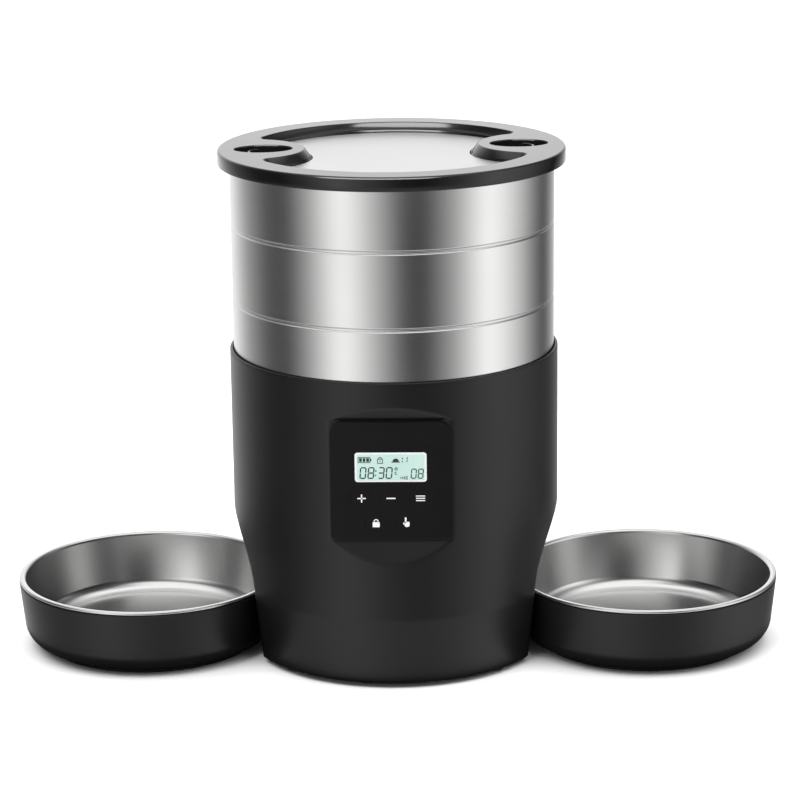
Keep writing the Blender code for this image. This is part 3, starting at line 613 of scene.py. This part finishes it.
def housing():
    """The body shell: a tapered cylinder with two blended scoops and the panel's flat."""
    fine = np.arange(-115.0, -65.0, 0.5)
    coarse = np.arange(-65.0, 245.0, 1.0)
    turn = np.radians(np.concatenate([fine, coarse]))
    heights = np.concatenate([
        np.linspace(BODY_BOTTOM + 1.8, 78.0, 50),
        np.linspace(79.0, 98.0, 30),
        np.linspace(100.0, 164.0, 26),
        np.linspace(165.5, 178.0, 20),
        np.linspace(180.0, BODY_TOP - 0.7, 7),
    ])
    shape = Shape()

    def ring(radius, z):
        return [(r * math.cos(a), r * math.sin(a), z) for r, a in zip(radius, turn)]

    outside = [ring(housing_radius(turn, np.full_like(turn, z)), z) for z in heights]
    foot = housing_radius(turn, np.full_like(turn, BODY_BOTTOM + 1.8))
    lower = [
        ring(foot - WALL, BODY_BOTTOM),
        ring(foot - 1.3, BODY_BOTTOM),
        ring(foot - 0.4, BODY_BOTTOM + 0.6),
    ]
    full = np.ones_like(turn)
    upper = [
        ring(full * (BODY_R - 0.25), BODY_TOP - 0.2),
        ring(full * (BODY_R - 0.7), BODY_TOP),
        ring(full * (DRUM_R + 0.8), BODY_TOP),
        ring(full * (DRUM_R + 0.5), BODY_TOP - 0.4),
        ring(full * (DRUM_R + 0.5), SHELF_Z),
        ring(full * SHELF_R, SHELF_Z),
        ring(full * SHELF_R, SHELF_Z - 3.0),
    ]
    inner_z = [172.0, 168.0, 164.0, *np.linspace(160.0, 6.0, 40)]
    inside = [ring(housing_radius(turn, np.full_like(turn, z)) - WALL, z) for z in inner_z]
    shape.loft([*lower, *outside, *upper, *inside], around=True)
    shell = shape.object("housing_shell", satin_black(), 40)
    for side in (-1, 1):
        window = rounded(0, *WINDOW, (5.0, 5.0))
        cut(shell, slab("window", window, side * 60.0, side * 98.0, satin_black(), "YZ"))
        dock = rounded(0, *DOCK, (1.0, 1.0), 3)
        cut(shell, slab("dock", dock, side * 62.0, side * 74.0, satin_black(), "YZ"))
    socket = arc((0, SOCKET_Z), SOCKET_R, 0, 360, 32)[:-1]
    cut(shell, slab("socket", socket, 80.0, 110.0, satin_black()))
    shell.data.shade_smooth()
    shell.data.set_sharp_from_angle(angle=math.radians(40))
    place(shell, "base", "black_plastic", "housing")


def feet():
    for row, y in (("front", -1), ("rear", 1)):
        for column, x in (("left", -1), ("right", 1)):
            node = f"foot_{row}_{column}"
            low, high = span(node)
            centre = ((low.x + high.x) / 2, (low.y + high.y) / 2)
            radius = (high.x - low.x) / 2
            profile = [(0, low.z), (radius - 1.6, low.z), (radius - 1.2, low.z + 0.25)]
            profile += arc((radius - 1.0, low.z + 1.2), 1.0, -80, 0, 5)
            profile += [(radius, high.z), (0, high.z)]
            shape = Shape()
            shape.lathe(profile, centre, 48)
            place(shape.object(f"{node}_pad", rubber_black()), "base", "rubber", node)


# ---- drum ------------------------------------------------------------------------


def groove(z):
    """Depth of the rolled grooves at a height, flat at the bottom with soft shoulders."""
    depth = 0.0
    for middle in GROOVE_Z:
        across = abs(z - middle)
        depth = max(depth, GROOVE_DEPTH * min(1.0, max(0.0, (1.6 - across) / 1.35)))
    share = depth / GROOVE_DEPTH
    return GROOVE_DEPTH * share * share * (3 - 2 * share)


def drum():
    bottom, top = DRUM[0].z, DRUM[1].z
    heights = [bottom]
    for middle in GROOVE_Z:
        heights += [middle - 2.6] + [middle - 2.1 + 0.14 * k for k in range(31)] + [middle + 2.6]
    heights += [top - 1.3]
    outside = [(DRUM_R - groove(z), z) for z in heights]
    bead = arc((DRUM_R - 1.3, top - 1.3), 1.3, 0, 180, 10)
    inside = [(DRUM_R - DRUM_SHEET - groove(z), z) for z in reversed(heights[:-1])]
    curl = [(DRUM_R - 2.6, top - 2.4), (DRUM_R - 2.2, top - 2.6), (DRUM_R - DRUM_SHEET, top - 2.6)]
    shape = Shape()
    shape.lathe([*outside, *bead, *curl, *inside], sides=256, around=True)
    place(shape.object("drum_sheet", drum_steel(), 50), "drum", "steel", "drum")


# ---- lid -------------------------------------------------------------------------


def recess(radius, lobe, fillet=7.0):
    """Outline of a disc less two lobes at +X and -X, with filleted corners."""
    inner = radius - fillet
    cx = (inner**2 - (lobe + fillet) ** 2 + LOBE_X**2) / (2 * LOBE_X)
    cy = math.sqrt(inner**2 - cx**2)
    rim = math.degrees(math.atan2(cy, cx))
    turn_end = math.degrees(math.atan2(-cy, LOBE_X - cx))
    lobe_start = math.degrees(math.atan2(cy, cx - LOBE_X))
    quarter = arc((0, 0), radius, 90, rim, 22)[:-1]
    quarter += arc((cx, cy), fillet, rim, turn_end, 10)[:-1]
    quarter += arc((LOBE_X, 0), lobe, lobe_start, 180, 16)
    half = quarter + [(x, -y) for x, y in reversed(quarter[:-1])]
    return half + [(-x, y) for x, y in reversed(half[1:-1])]


def lobe_radius(z):
    return LOBE_R + (LID_TOP - z) * LOBE_SPREAD / LOBE_DEPTH


def oval(side, grow):
    length, width = WELL_SIZE
    return [
        (side * WELL_X + (length + grow) * math.cos(a), (width + grow) * math.sin(a))
        for a in np.linspace(0, 2 * math.pi, 56, endpoint=False)
    ]


def lid_top():
    top, skirt = LID_TOP, SKIRT_Z
    shape = Shape()
    edge = LID_R - 1.5
    profile = [(edge - 0.4, top), (edge, top)]
    profile += [(x, z) for x, z in reversed(arc((edge, top - 1.5), 1.5, 0, 80, 6))]
    profile += [(LID_R, skirt + 0.7), (LID_R - 0.2, skirt + 0.2), (LID_R - 0.7, skirt)]
    channel = DRUM[1].z + 2.2
    ring_z, middle_z = UNDER_Z
    profile += [(DRUM_R + 0.6, skirt), (DRUM_R + 0.6, channel), (95.3, channel)]
    profile += [(95.3, ring_z + 0.4), (94.9, ring_z), (92.8, ring_z), (92.8, middle_z), (0, middle_z)]
    rings = shape.lathe(profile)
    outer = [shape.points[k][:2] for k in rings[0]]
    ledge = LEDGE_Z
    levels = [
        (top, RECESS_R, RECESS_LOBE_R),
        (top, 88.6, 34.9),
        (top - 0.08, 88.3, 35.2),
        (top - 0.3, 88.05, 35.45),
        (top - 0.7, 87.9, lobe_radius(top - 0.7)),
        (ledge + 0.4, 86.75, lobe_radius(ledge + 0.4)),
        (ledge, 86.3, lobe_radius(ledge) + 0.05),
        (ledge, 83.0, lobe_radius(ledge) + 0.1),
        (ledge - 0.1, 82.7, lobe_radius(ledge) + 0.2),
        (ledge - 0.5, 82.5, lobe_radius(ledge - 0.5)),
        (RECESS_FLOOR, 82.4, lobe_radius(RECESS_FLOOR)),
    ]
    shape.loft([[(x, y, z) for x, y in recess(r, lobe)] for z, r, lobe in levels])
    wells = []
    for side in (-1, 1):
        lip = [(top, WELL_LIP), (top, 0.5), (top - 0.1, 0.22), (top - 0.35, 0.03), (top - 0.8, 0.0)]
        lip.append((306.9, 0.0))
        rings = shape.loft([[(x, y, z) for x, y in oval(side, grow)] for z, grow in lip])
        shape.cap(rings[-1])
        wells.append(oval(side, WELL_LIP))
    shape.fill([outer, recess(RECESS_R, RECESS_LOBE_R), *wells], top)
    shape.points = turned(shape.points, LID_YAW)
    place(shape.object("lid_cover", lid_black(), 35), "lid", "black_plastic", "lid_top")


def lid_disc():
    shape = Shape()
    levels = [(307.0, DISC_R, 0.5), (DISC_TOP - 0.15, DISC_R, 0.5), (DISC_TOP, DISC_R - 0.2, 0.7)]
    rings = [[(x, y, z) for x, y in recess(r, lobe_radius(z) + grow)] for z, r, grow in levels]
    shape.loft(rings)
    shape.fill([[p[:2] for p in rings[-1]]], DISC_TOP)
    shape.points = turned(shape.points, LID_YAW)
    place(shape.object("lid_disc_face", silver_disc(), 35), "lid", "silver_disc", "lid_disc")


def latches():
    """A curved finger pad standing in each well, on the slide under the lid."""
    for side, name in ((-1, "left"), (1, "right")):
        low, high = span(f"latch_{name}")
        shape = Shape()
        middle, outer, thick = 77.6, 9.4, 1.5
        sweep = np.radians(np.linspace(-68, 68, 28))

        def wall(radius, z):
            return [(side * (middle + radius * math.cos(a)), radius * math.sin(a), z) for a in sweep]

        steps = [
            wall(outer, 301.6),
            wall(outer, high.z - 0.4),
            wall(outer - 0.3, high.z),
            wall(outer - thick + 0.3, high.z),
            wall(outer - thick, high.z - 0.4),
            wall(outer - thick, 301.6),
        ]
        made = shape.loft(steps, closed=False, around=True)
        shape.cap([ring[0] for ring in made])
        shape.cap([ring[-1] for ring in made])
        plate = rounded(side * 82.6, 0, 25.3, 17.2, (2.0, 2.0), 4)
        rings = shape.loft([[(x, y, z) for x, y in plate] for z in (low.z, low.z + 1.7)])
        shape.cap(rings[0])
        shape.cap(rings[1])
        shape.points = turned(shape.points, LID_YAW)
        piece = shape.object(f"latch_{name}_slide", gloss_black(), 35)
        place(piece, f"latch_{name}", "black_plastic", f"latch_{name}")


# ---- trays and bowls -------------------------------------------------------------


def tray(side):
    name = "left" if side < 0 else "right"
    foot, fillet = 66.5, 13.5
    centre = (foot, 2.8 + fillet)
    profile = [(0, 2.6), (foot - 4.4, 2.6), (foot - 4.0, 2.2), (foot - 4.0, 0.3), (foot - 3.6, 0)]
    profile += [(foot - 0.6, 0)]
    profile += [(foot - 0.1, 0.5), (foot - 0.05, 2.4), *arc(centre, fillet, -88, -5, 18)]
    profile += [(TRAY_R - 0.05, TRAY_TOP - 0.6), (TRAY_R - 0.5, TRAY_TOP), (TRAY_R - 2.0, TRAY_TOP)]
    profile += [*reversed(arc(centre, fillet - 2.0, -90, -5, 14)), (0, centre[1] - fillet + 2.0)]
    shape = Shape()
    shape.lathe(profile, (side * BOWL_X, 0))
    low, high = span(f"tray_{name}")
    inner = high.x if side < 0 else low.x
    dock = rounded(0, 10.7, 28.0, 5.0, (1.2, 1.2), 4)
    rings = shape.loft([[(x, y, z) for y, z in dock] for x in (inner + side * 24.0, inner + side * 0.8)])
    tip = shape.ring([(inner, 0.94 * y, 10.7 + 0.75 * (z - 10.7)) for y, z in dock])
    shape.strip(rings[1], tip)
    shape.cap(tip)
    piece = shape.object(f"tray_{name}_dish", satin_black(), 40)
    place(piece, f"tray_{name}", "black_plastic", f"tray_{name}")


def bowl(side):
    """A pressed bowl: rolled rim, a soft step under it, and a rounded floor."""
    name = "left" if side < 0 else "right"
    wall = BOWL_R - 3.4
    bead_z, bead = BOWL_TOP - 0.95, 0.95
    under = [(wall, TRAY_TOP + 0.4), (BOWL_R - bead, BOWL_TOP - 2 * bead)]
    roll = arc((BOWL_R - bead, bead_z), bead, -90, 90, 10)
    throat = arc((wall - 0.8 + 2.0, bead_z - 1.05), 2.0, 92, 180, 8)
    centre = (63.0, BOWL_FLOOR + 10.4)
    floor = list(reversed(arc(centre, 9.6, -90, -18, 12)))
    inside = [*throat, *floor, (0, BOWL_FLOOR + 0.8)]
    outside = [(0, BOWL_FLOOR), *arc(centre, 10.4, -90, -18, 10), (wall - 1.5, 35.3)]
    outside += [(wall - 0.3, 37.2), (wall, 39.0)]
    shape = Shape()
    shape.lathe([*outside, *under, *roll, *inside], (side * BOWL_X, 0))
    piece = shape.object(f"bowl_{name}_pressing", bowl_steel(side), 40)
    place(piece, f"bowl_{name}", "steel", f"bowl_{name}")


# ---- control panel ---------------------------------------------------------------


LIP_BAND = 0.15  # a flat margin inside each rounded edge, so that the shading stays flat beyond it


def soft_plate(name, loops, face, back, surface, lip):
    """A flat plate in XZ with holes, and edges rounded by lip on its front."""
    shape = Shape()
    outer, *holes = loops
    for grow, loop in [(-1, outer)] + [(1, hole) for hole in holes]:
        rings = [[(x, face, z) for x, z in offset(loop, grow * (lip + LIP_BAND))]]
        for share in (0.0, 0.3, 0.7, 1.0):
            angle = share * math.pi / 2
            inset = lip * (1 - math.sin(angle))
            depth = face + lip * (1 - math.cos(angle))
            rings.append([(x, depth, z) for x, z in offset(loop, grow * inset)])
        rings.append([(x, back, z) for x, z in loop])
        shape.loft(rings)
    inset = lip + LIP_BAND
    flat = [offset(outer, -inset)] + [offset(hole, inset) for hole in holes]
    for depth, loops_here in ((face, flat), (back, loops)):
        layer = Shape()
        layer.fill(loops_here, 0.0)
        start = len(shape.points)
        shape.points += [(x, depth, z) for x, z, _ in layer.points]
        shape.faces += [tuple(start + k for k in face_) for face_ in layer.faces]
    return shape.object(name, surface, 50)


def offset(loop, distance):
    """Moves each point of an anticlockwise outline outwards by distance."""
    moved = []
    count = len(loop)
    for k, (x, z) in enumerate(loop):
        before, after = loop[k - 1], loop[(k + 1) % count]
        dx, dz = after[0] - before[0], after[1] - before[1]
        size = math.hypot(dx, dz)
        moved.append((x + distance * dz / size, z - distance * dx / size))
    return moved


KEYS = ("key_plus", "key_minus", "key_menu", "key_lock", "key_feed")


def key_centre(node):
    low, high = span(node)
    return (low.x + high.x) / 2, (low.z + high.z) / 2


def panel():
    low, high = PANEL
    centre_z = (low.z + high.z) / 2
    outline = rounded(0, centre_z, high.x - low.x, high.z - low.z, (8.0, 2.5), 10)
    lcd_z = (LCD[0].z + LCD[1].z) / 2
    holes = [rounded(0, lcd_z, *LENS_HOLE, (2.0, 2.0), 6)]
    for node in KEYS:
        x, z = key_centre(node)
        holes.append(rounded(x, z, *KEY_HOLE, (2.6, 2.6), 6))
    plate = soft_plate("panel_face", [outline, *holes], low.y, high.y, gloss_black(), 0.15)
    place(plate, "base", "gloss_black", "panel_plate")
    border = printed("display_border", (0.8, 0.82, 0.81), 0.3)
    lens = rounded(0, lcd_z, *LENS_SIZE, (1.7, 1.7), 6)
    window = soft_plate("display_lens", [lens], LCD[0].y, LCD[1].y, border, 0.15)
    place(window, "base", "display", "display_window")
    field = rounded(0, lcd_z, *FIELD_SIZE, (1.0, 1.0), 4)
    glow = slab("display_field", field, LCD[0].y - 0.05, LCD[0].y + 0.3, lcd_glow())
    place(glow, "base", "display")
    for node in KEYS:
        x, z = key_centre(node)
        near, far = span(node)
        edge = rounded(x, z, *KEY_SIZE, (2.5, 2.5), 6)
        cap = soft_plate(f"{node}_cap", [edge], near.y, far.y, gloss_black(), 0.12)
        place(cap, node, "gloss_black", node)
        place(icon(node, x, z, near.y), node, "silicone")


def ink(name, outlines, face, surface):
    """Printed marks: thin raised prisms on a face that looks along -Y."""
    shape = Shape()
    for outline in outlines:
        rings = shape.loft([[(x, depth, z) for x, z in outline] for depth in (face - 0.04, face + 0.05)])
        shape.cap(rings[0])
        shape.cap(rings[1])
    return shape.object(name, surface, 30, weld=False)


def bar(x, z, width, height):
    return [(x - width / 2, z - height / 2), (x + width / 2, z - height / 2),
            (x + width / 2, z + height / 2), (x - width / 2, z + height / 2)]


def hoop(x, z, inner, outer, start=0.0, end=360.0, steps=24):
    """Pieces of a flat ring, as separate quads."""
    turn = np.radians(np.linspace(start, end, steps + 1))
    quads = []
    for a, b in zip(turn, turn[1:]):
        quads.append([
            (x + inner * math.cos(a), z + inner * math.sin(a)),
            (x + outer * math.cos(a), z + outer * math.sin(a)),
            (x + outer * math.cos(b), z + outer * math.sin(b)),
            (x + inner * math.cos(b), z + inner * math.sin(b)),
        ])
    return quads


def padlock(x, z, size):
    """A closed padlock: a body with a shackle over it."""
    body = rounded(x, z - 0.2 * size, 0.72 * size, 0.56 * size, (0.08 * size, 0.08 * size), 3)
    shackle = hoop(x, z + 0.12 * size, 0.16 * size, 0.26 * size, 0, 180, 10)
    legs = [bar(x + s * 0.21 * size, z + 0.09 * size, 0.1 * size, 0.1 * size) for s in (-1, 1)]
    return [body, *shackle, *legs]


def icon(node, x, z, face):
    """Plain symbols: plus, minus, a menu of three lines, a padlock and a pointing hand."""
    white = printed("print_white", (0.86, 0.86, 0.85), 0.35)
    marks = {
        "key_plus": [bar(x, z, 5.0, 0.75), bar(x, z, 0.75, 5.0)],
        "key_minus": [bar(x, z, 5.4, 0.75)],
        "key_menu": [bar(x, z + 1.4, 5.4, 0.6), bar(x, z, 5.4, 0.6), bar(x, z - 1.4, 5.4, 0.6)],
        "key_lock": padlock(x, z, 5.8),
        "key_feed": [
            rounded(x + 0.25, z - 1.1, 3.0, 3.2, (0.5, 1.2), 4),
            rounded(x - 0.55, z + 1.6, 1.0, 3.4, (0.5, 0.1), 4),
            rounded(x - 1.5, z - 0.6, 1.1, 1.3, (0.4, 0.4), 3),
        ],
    }[node]
    return ink(f"{node}_symbol", marks, face, white)


SEGMENTS = {
    "0": "abcdef", "1": "bc", "2": "abged", "3": "abgcd", "4": "fgbc",
    "5": "afgcd", "6": "afgedc", "7": "abc", "8": "abcdefg", "9": "abcdfg",
}


def digit(character, x, z, width, height, thick, slant=0.09):
    """Seven-segment outlines with the lower left corner at (x, z)."""
    w, h, t = width, height, thick
    gap = 0.12 * t

    def across(y):
        return [(t * 0.6 + gap, y), (t, y - t / 2), (w - t, y - t / 2), (w - t * 0.6 - gap, y),
                (w - t, y + t / 2), (t, y + t / 2)]

    def up(left, y0, y1):
        return [(left, y0 + t * 0.6 + gap), (left + t / 2, y0 + t), (left + t / 2, y1 - t),
                (left, y1 - t * 0.6 - gap), (left - t / 2, y1 - t), (left - t / 2, y0 + t)]

    shapes = {
        "a": across(h - t / 2), "g": across(h / 2), "d": across(t / 2),
        "f": up(t / 2, h / 2 - t / 2, h), "b": up(w - t / 2, h / 2 - t / 2, h),
        "e": up(t / 2, 0, h / 2 + t / 2), "c": up(w - t / 2, 0, h / 2 + t / 2),
    }
    return [[(x + px + slant * py, z + py) for px, py in shapes[key]] for key in SEGMENTS[character]]


def display_marks():
    """Clock and portion count in seven-segment digits, with plain symbols around them."""
    z = (LCD[0].z + LCD[1].z) / 2
    marks = []
    for k, character in enumerate("0830"):
        marks += digit(character, -18.6 + 4.7 * k + (1.3 if k > 1 else 0.0), z - 7.0, 3.9, 7.2, 0.75)
    marks += [bar(-8.95, z - 4.9, 0.8, 0.8), bar(-8.75, z - 2.1, 0.8, 0.8)]
    for k, character in enumerate("08"):
        marks += digit(character, 11.6 + 4.1 * k, z - 7.0, 3.4, 6.2, 0.65)
    marks += battery_symbol(-15.6, z + 4.6)
    marks += padlock_outline(-6.2, z + 4.6)
    marks += hoop(3.0, z + 3.5, 0.0, 1.9, 0, 180, 10)
    marks += [bar(3.0, z + 3.2, 5.0, 0.5), bar(7.0, z + 3.6, 0.7, 0.7), bar(7.0, z + 5.4, 0.7, 0.7)]
    marks += digit("1", 7.6, z + 2.8, 2.2, 3.8, 0.5)
    marks += hoop(3.2, z - 0.9, 0.45, 0.95, 0, 360, 12)
    marks += hoop(3.2, z - 3.6, 0.5, 0.95, 60, 300, 12)
    marks += [bar(5.9 + 1.2 * k, z - 6.4, 0.6, 0.8 + 0.5 * k) for k in range(4)]
    face = LCD[0].y - 0.05
    dark = printed("lcd_black", (0.018, 0.028, 0.027), 0.4)
    place(ink("display_marks", marks, face, dark), "base", "display")


def battery_symbol(x, z):
    levels = [bar(x, z + 1.6, 7.0, 0.4), bar(x, z - 1.6, 7.0, 0.4)]
    ends = [bar(x - 3.5, z, 0.4, 3.6), bar(x + 3.5, z, 0.4, 3.6)]
    cells = [bar(x - 2.1 + 2.1 * k, z, 1.6, 2.2) for k in range(3)]
    return [*levels, *ends, *cells, bar(x + 4.0, z, 0.6, 1.4)]


def padlock_outline(x, z):
    body = [bar(x, z + 0.5, 3.4, 0.4), bar(x, z - 2.1, 3.4, 0.4), bar(x - 1.5, z - 0.8, 0.4, 2.4),
            bar(x + 1.5, z - 0.8, 0.4, 2.4)]
    return [*body, *hoop(x, z + 0.7, 0.7, 1.1, 0, 180, 10), bar(x, z - 0.8, 0.5, 0.9)]


# ---- CAD nodes that stay ---------------------------------------------------------


def dress_frame():
    """Gives every CAD node that stays on show its own finish."""
    finishes = {
        satin_black(): ("base_plate", "battery_door"),
        inner_black(): ("hopper_funnel",),
        inner_grey(): ("battery_box", "dispenser_housing", "splitter_chute", "gear_case"),
        inner_white(): ("lid_liner", "desiccant_holder", "desiccant_cap", "drive_gear", "portion_cam"),
        gloss_black(): ("power_socket", "portion_switch"),
        silicone(): ("lid_seal", "key_mat", "rotor"),
        plated(): ("base_screw_1", "base_screw_2", "base_screw_3", "base_screw_4", "rotor_shaft", "motor",
                   "latch_spring_left", "latch_spring_right"),
        brass(): ("battery_contact_front", "battery_contact_rear", "shaft_bush_front", "shaft_bush_rear",
                  "motor_pinion"),
        circuit_board(): ("control_board",),
        lcd_glow(): ("display_module",),
        cell_wrap(): ("battery_cell_1", "battery_cell_2", "battery_cell_3"),
    }
    for surface, nodes in finishes.items():
        for node in nodes:
            slots = frame["nodes"][node].material_slots
            for slot in slots:
                slot.material = surface


# ---- studio ----------------------------------------------------------------------


SHADE_MARGIN = 10.0  # how far the painted contact shadow reaches past each foot


def floor():
    shape = Shape()
    shape.lathe([(14000.0, -0.1), (0, -0.1)], sides=96)
    made, nodes, shader = new_material("studio_floor")
    cloud = nodes.noise(object_place(nodes), 3.0, 2.0)
    nodes.paint(shader, cloud, (0.3, (0.76, 0.76, 0.76)), (0.7, (0.78, 0.78, 0.78)))
    shader.inputs["Roughness"].default_value = 0.6
    shader.inputs["Specular IOR Level"].default_value = 0.2
    ground = shape.object("studio_floor", made)
    ground.visible_glossy = False
    ground.visible_diffuse = False


def painted_contact_shadow():
    """Painted contact shadow: dark discs on the floor close to the feeder, which only reflections see."""
    made, nodes, shader = new_material("painted_contact_shadow")
    cloud = nodes.noise(object_place(nodes), 9.0, 2.0)
    # The dark tones are painted shade, standing in for the floor's contact shadow.
    nodes.paint(shader, cloud, (0.3, (0.03, 0.03, 0.03)), (0.7, (0.05, 0.05, 0.05)))
    shader.inputs["Roughness"].default_value = 0.8
    spots = (("base", 0.0, BODY_FOOT_R), ("left", -BOWL_X, TRAY_R), ("right", BOWL_X, TRAY_R))
    for name, x, radius in spots:
        shape = Shape()
        shape.lathe([(radius + SHADE_MARGIN, -0.05), (0, -0.05)], (x, 0.0), 64)
        patch = shape.object(f"contact_shade_{name}", made)
        patch.visible_camera = False
        patch.visible_diffuse = False
        patch.visible_transmission = False
        patch.visible_shadow = False


# The studio's soft panels: (degrees to the right of the camera, brightness)
PANELS = (
    (-180, 1.5), (-150, 1.25), (-122, 0.46), (-98, 0.11), (-76, 0.05), (-58, 0.5), (-34, 1.65), (-12, 0.7),
    (8, 0.07), (24, 0.02), (46, 0.5), (72, 1.65), (96, 0.95), (118, 0.26), (136, 0.02), (152, 0.45),
    (180, 1.5),
)
WORLD_STRENGTH = 2.0
# Floor and ceiling: (height from 0 straight down to 1 straight up, half the brightness)
UP_AND_DOWN = ((0.0, 0.6), (0.3, 0.5), (0.7, 0.07), (0.84, 0.07), (0.93, 0.75), (1.0, 0.75))
UP_AND_DOWN_SHARE = ((0.25, 0.7), (0.32, 0.0), (0.7, 0.0), (0.9, 1.0))  # how much of them shows


def world():
    """A studio of tall soft panels with dark gaps between them, pale below and overhead."""
    sky = bpy.data.worlds.new("studio")
    sky.use_nodes = True
    bpy.context.scene.world = sky
    nodes = Nodes(sky.node_tree)
    split = nodes.add("ShaderNodeSeparateXYZ")
    nodes.link(nodes.add("ShaderNodeTexCoord").outputs["Generated"], split.inputs[0])
    backwards = nodes.math("MULTIPLY", split.outputs[1], -1.0)
    azimuth = nodes.math("ARCTAN2", split.outputs[0], backwards)
    share = nodes.math("MULTIPLY_ADD", azimuth, 1.0 / (2 * math.pi))  # 0.5 faces the camera
    share.node.inputs[2].default_value = 0.5
    tone = nodes.ramp(share, [((a + 180) / 360, v / WORLD_STRENGTH) for a, v in PANELS])
    height = nodes.math("MULTIPLY_ADD", split.outputs[2], 0.5)  # 0 looks down, 1 looks up
    height.node.inputs[2].default_value = 0.5
    mixed = nodes.add("ShaderNodeMix", data_type="RGBA")
    nodes.link(nodes.ramp(height, UP_AND_DOWN_SHARE, "EASE"), mixed.inputs[0])
    nodes.link(tone, mixed.inputs[6])
    nodes.link(nodes.ramp(height, UP_AND_DOWN), mixed.inputs[7])
    seen = nodes.add("ShaderNodeMix", data_type="RGBA")
    nodes.link(nodes.add("ShaderNodeLightPath").outputs["Is Camera Ray"], seen.inputs[0])
    nodes.link(mixed.outputs[2], seen.inputs[6])
    seen.inputs[7].default_value = (0.5, 0.5, 0.5, 1.0)  # white for the camera
    background = sky.node_tree.nodes["Background"]
    nodes.link(seen.outputs[2], background.inputs["Color"])
    background.inputs["Strength"].default_value = WORLD_STRENGTH


# Soft lamps, in metres and watts: (name, place, aim, size, power)
SOFT_LAMPS = (
    ("key_light", (-1.2, -1.6, 2.6), (0, 0, 0.1), (1.6, 1.6), 55),
    ("fill_light", (1.5, -1.4, 2.2), (0, 0, 0.1), (1.6, 1.6), 35),
    ("top_light", (0, 0.6, 3.0), (0, 0, 0), (3.0, 3.0), 70),
)
LID_GLEAM = ("lid_gleam", (-0.15, -0.95, 1.02), (0, 0, 0.31), (1.6, 0.9), 60)
FLANK_LAMPS = (("flank_left", -130, 170), ("flank_right", 142, 120))  # degrees, as in PANELS; power
FLANK_DISTANCE = 1.2  # metres from the feeder's axis
FLANK_HEIGHT = 0.12


def softbox(name, place_at, aim, size, power):
    data = bpy.data.lights.new(name, "AREA")
    data.shape = "RECTANGLE"
    data.size, data.size_y = size
    data.energy = power
    lamp = bpy.data.objects.new(name, data)
    bpy.context.scene.collection.objects.link(lamp)
    lamp.location = place_at
    lamp.rotation_euler = (Vector(aim) - Vector(place_at)).to_track_quat("-Z", "Y").to_euler()
    lamp.visible_glossy = False
    lamp.visible_camera = False
    return lamp


def lights():
    """Lights the set with three soft lamps and a faint sun.

    Two more lamps, from behind, graze only the black flanks, and only the lid's
    moulding picks up the gleam of the last one.
    """
    for lamp in SOFT_LAMPS:
        softbox(*lamp)
    sky_glow = bpy.data.lights.new("sky_glow", "SUN")
    sky_glow.energy = 1.0
    sky_glow.angle = 1.6
    glow = bpy.data.objects.new("sky_glow", sky_glow)
    bpy.context.scene.collection.objects.link(glow)
    glow.visible_glossy = False
    flanks = bpy.data.collections.new("black_flanks")
    for name in ("housing_shell", "tray_left_dish", "tray_right_dish"):
        flanks.objects.link(bpy.data.objects[name])
    for name, azimuth, power in FLANK_LAMPS:
        angle = math.radians(azimuth)
        spot = (FLANK_DISTANCE * math.sin(angle), -FLANK_DISTANCE * math.cos(angle), FLANK_HEIGHT)
        lamp = softbox(name, spot, (0, 0, FLANK_HEIGHT), (0.4, 0.4), power)
        lamp.light_linking.receiver_collection = flanks
    lid_only = bpy.data.collections.new("lid_only")
    lid_only.objects.link(bpy.data.objects["lid_cover"])
    gleam = softbox(*LID_GLEAM)
    gleam.visible_glossy = True
    gleam.visible_diffuse = False
    gleam.light_linking.receiver_collection = lid_only


def main():
    housing()
    feet()
    drum()
    lid_top()
    lid_disc()
    latches()
    for side in (-1, 1):
        tray(side)
        bowl(side)
    panel()
    display_marks()
    dress_frame()
    floor()
    painted_contact_shadow()
    world()
    lights()
    bpy.context.scene.view_settings.view_transform = "Standard"


main()
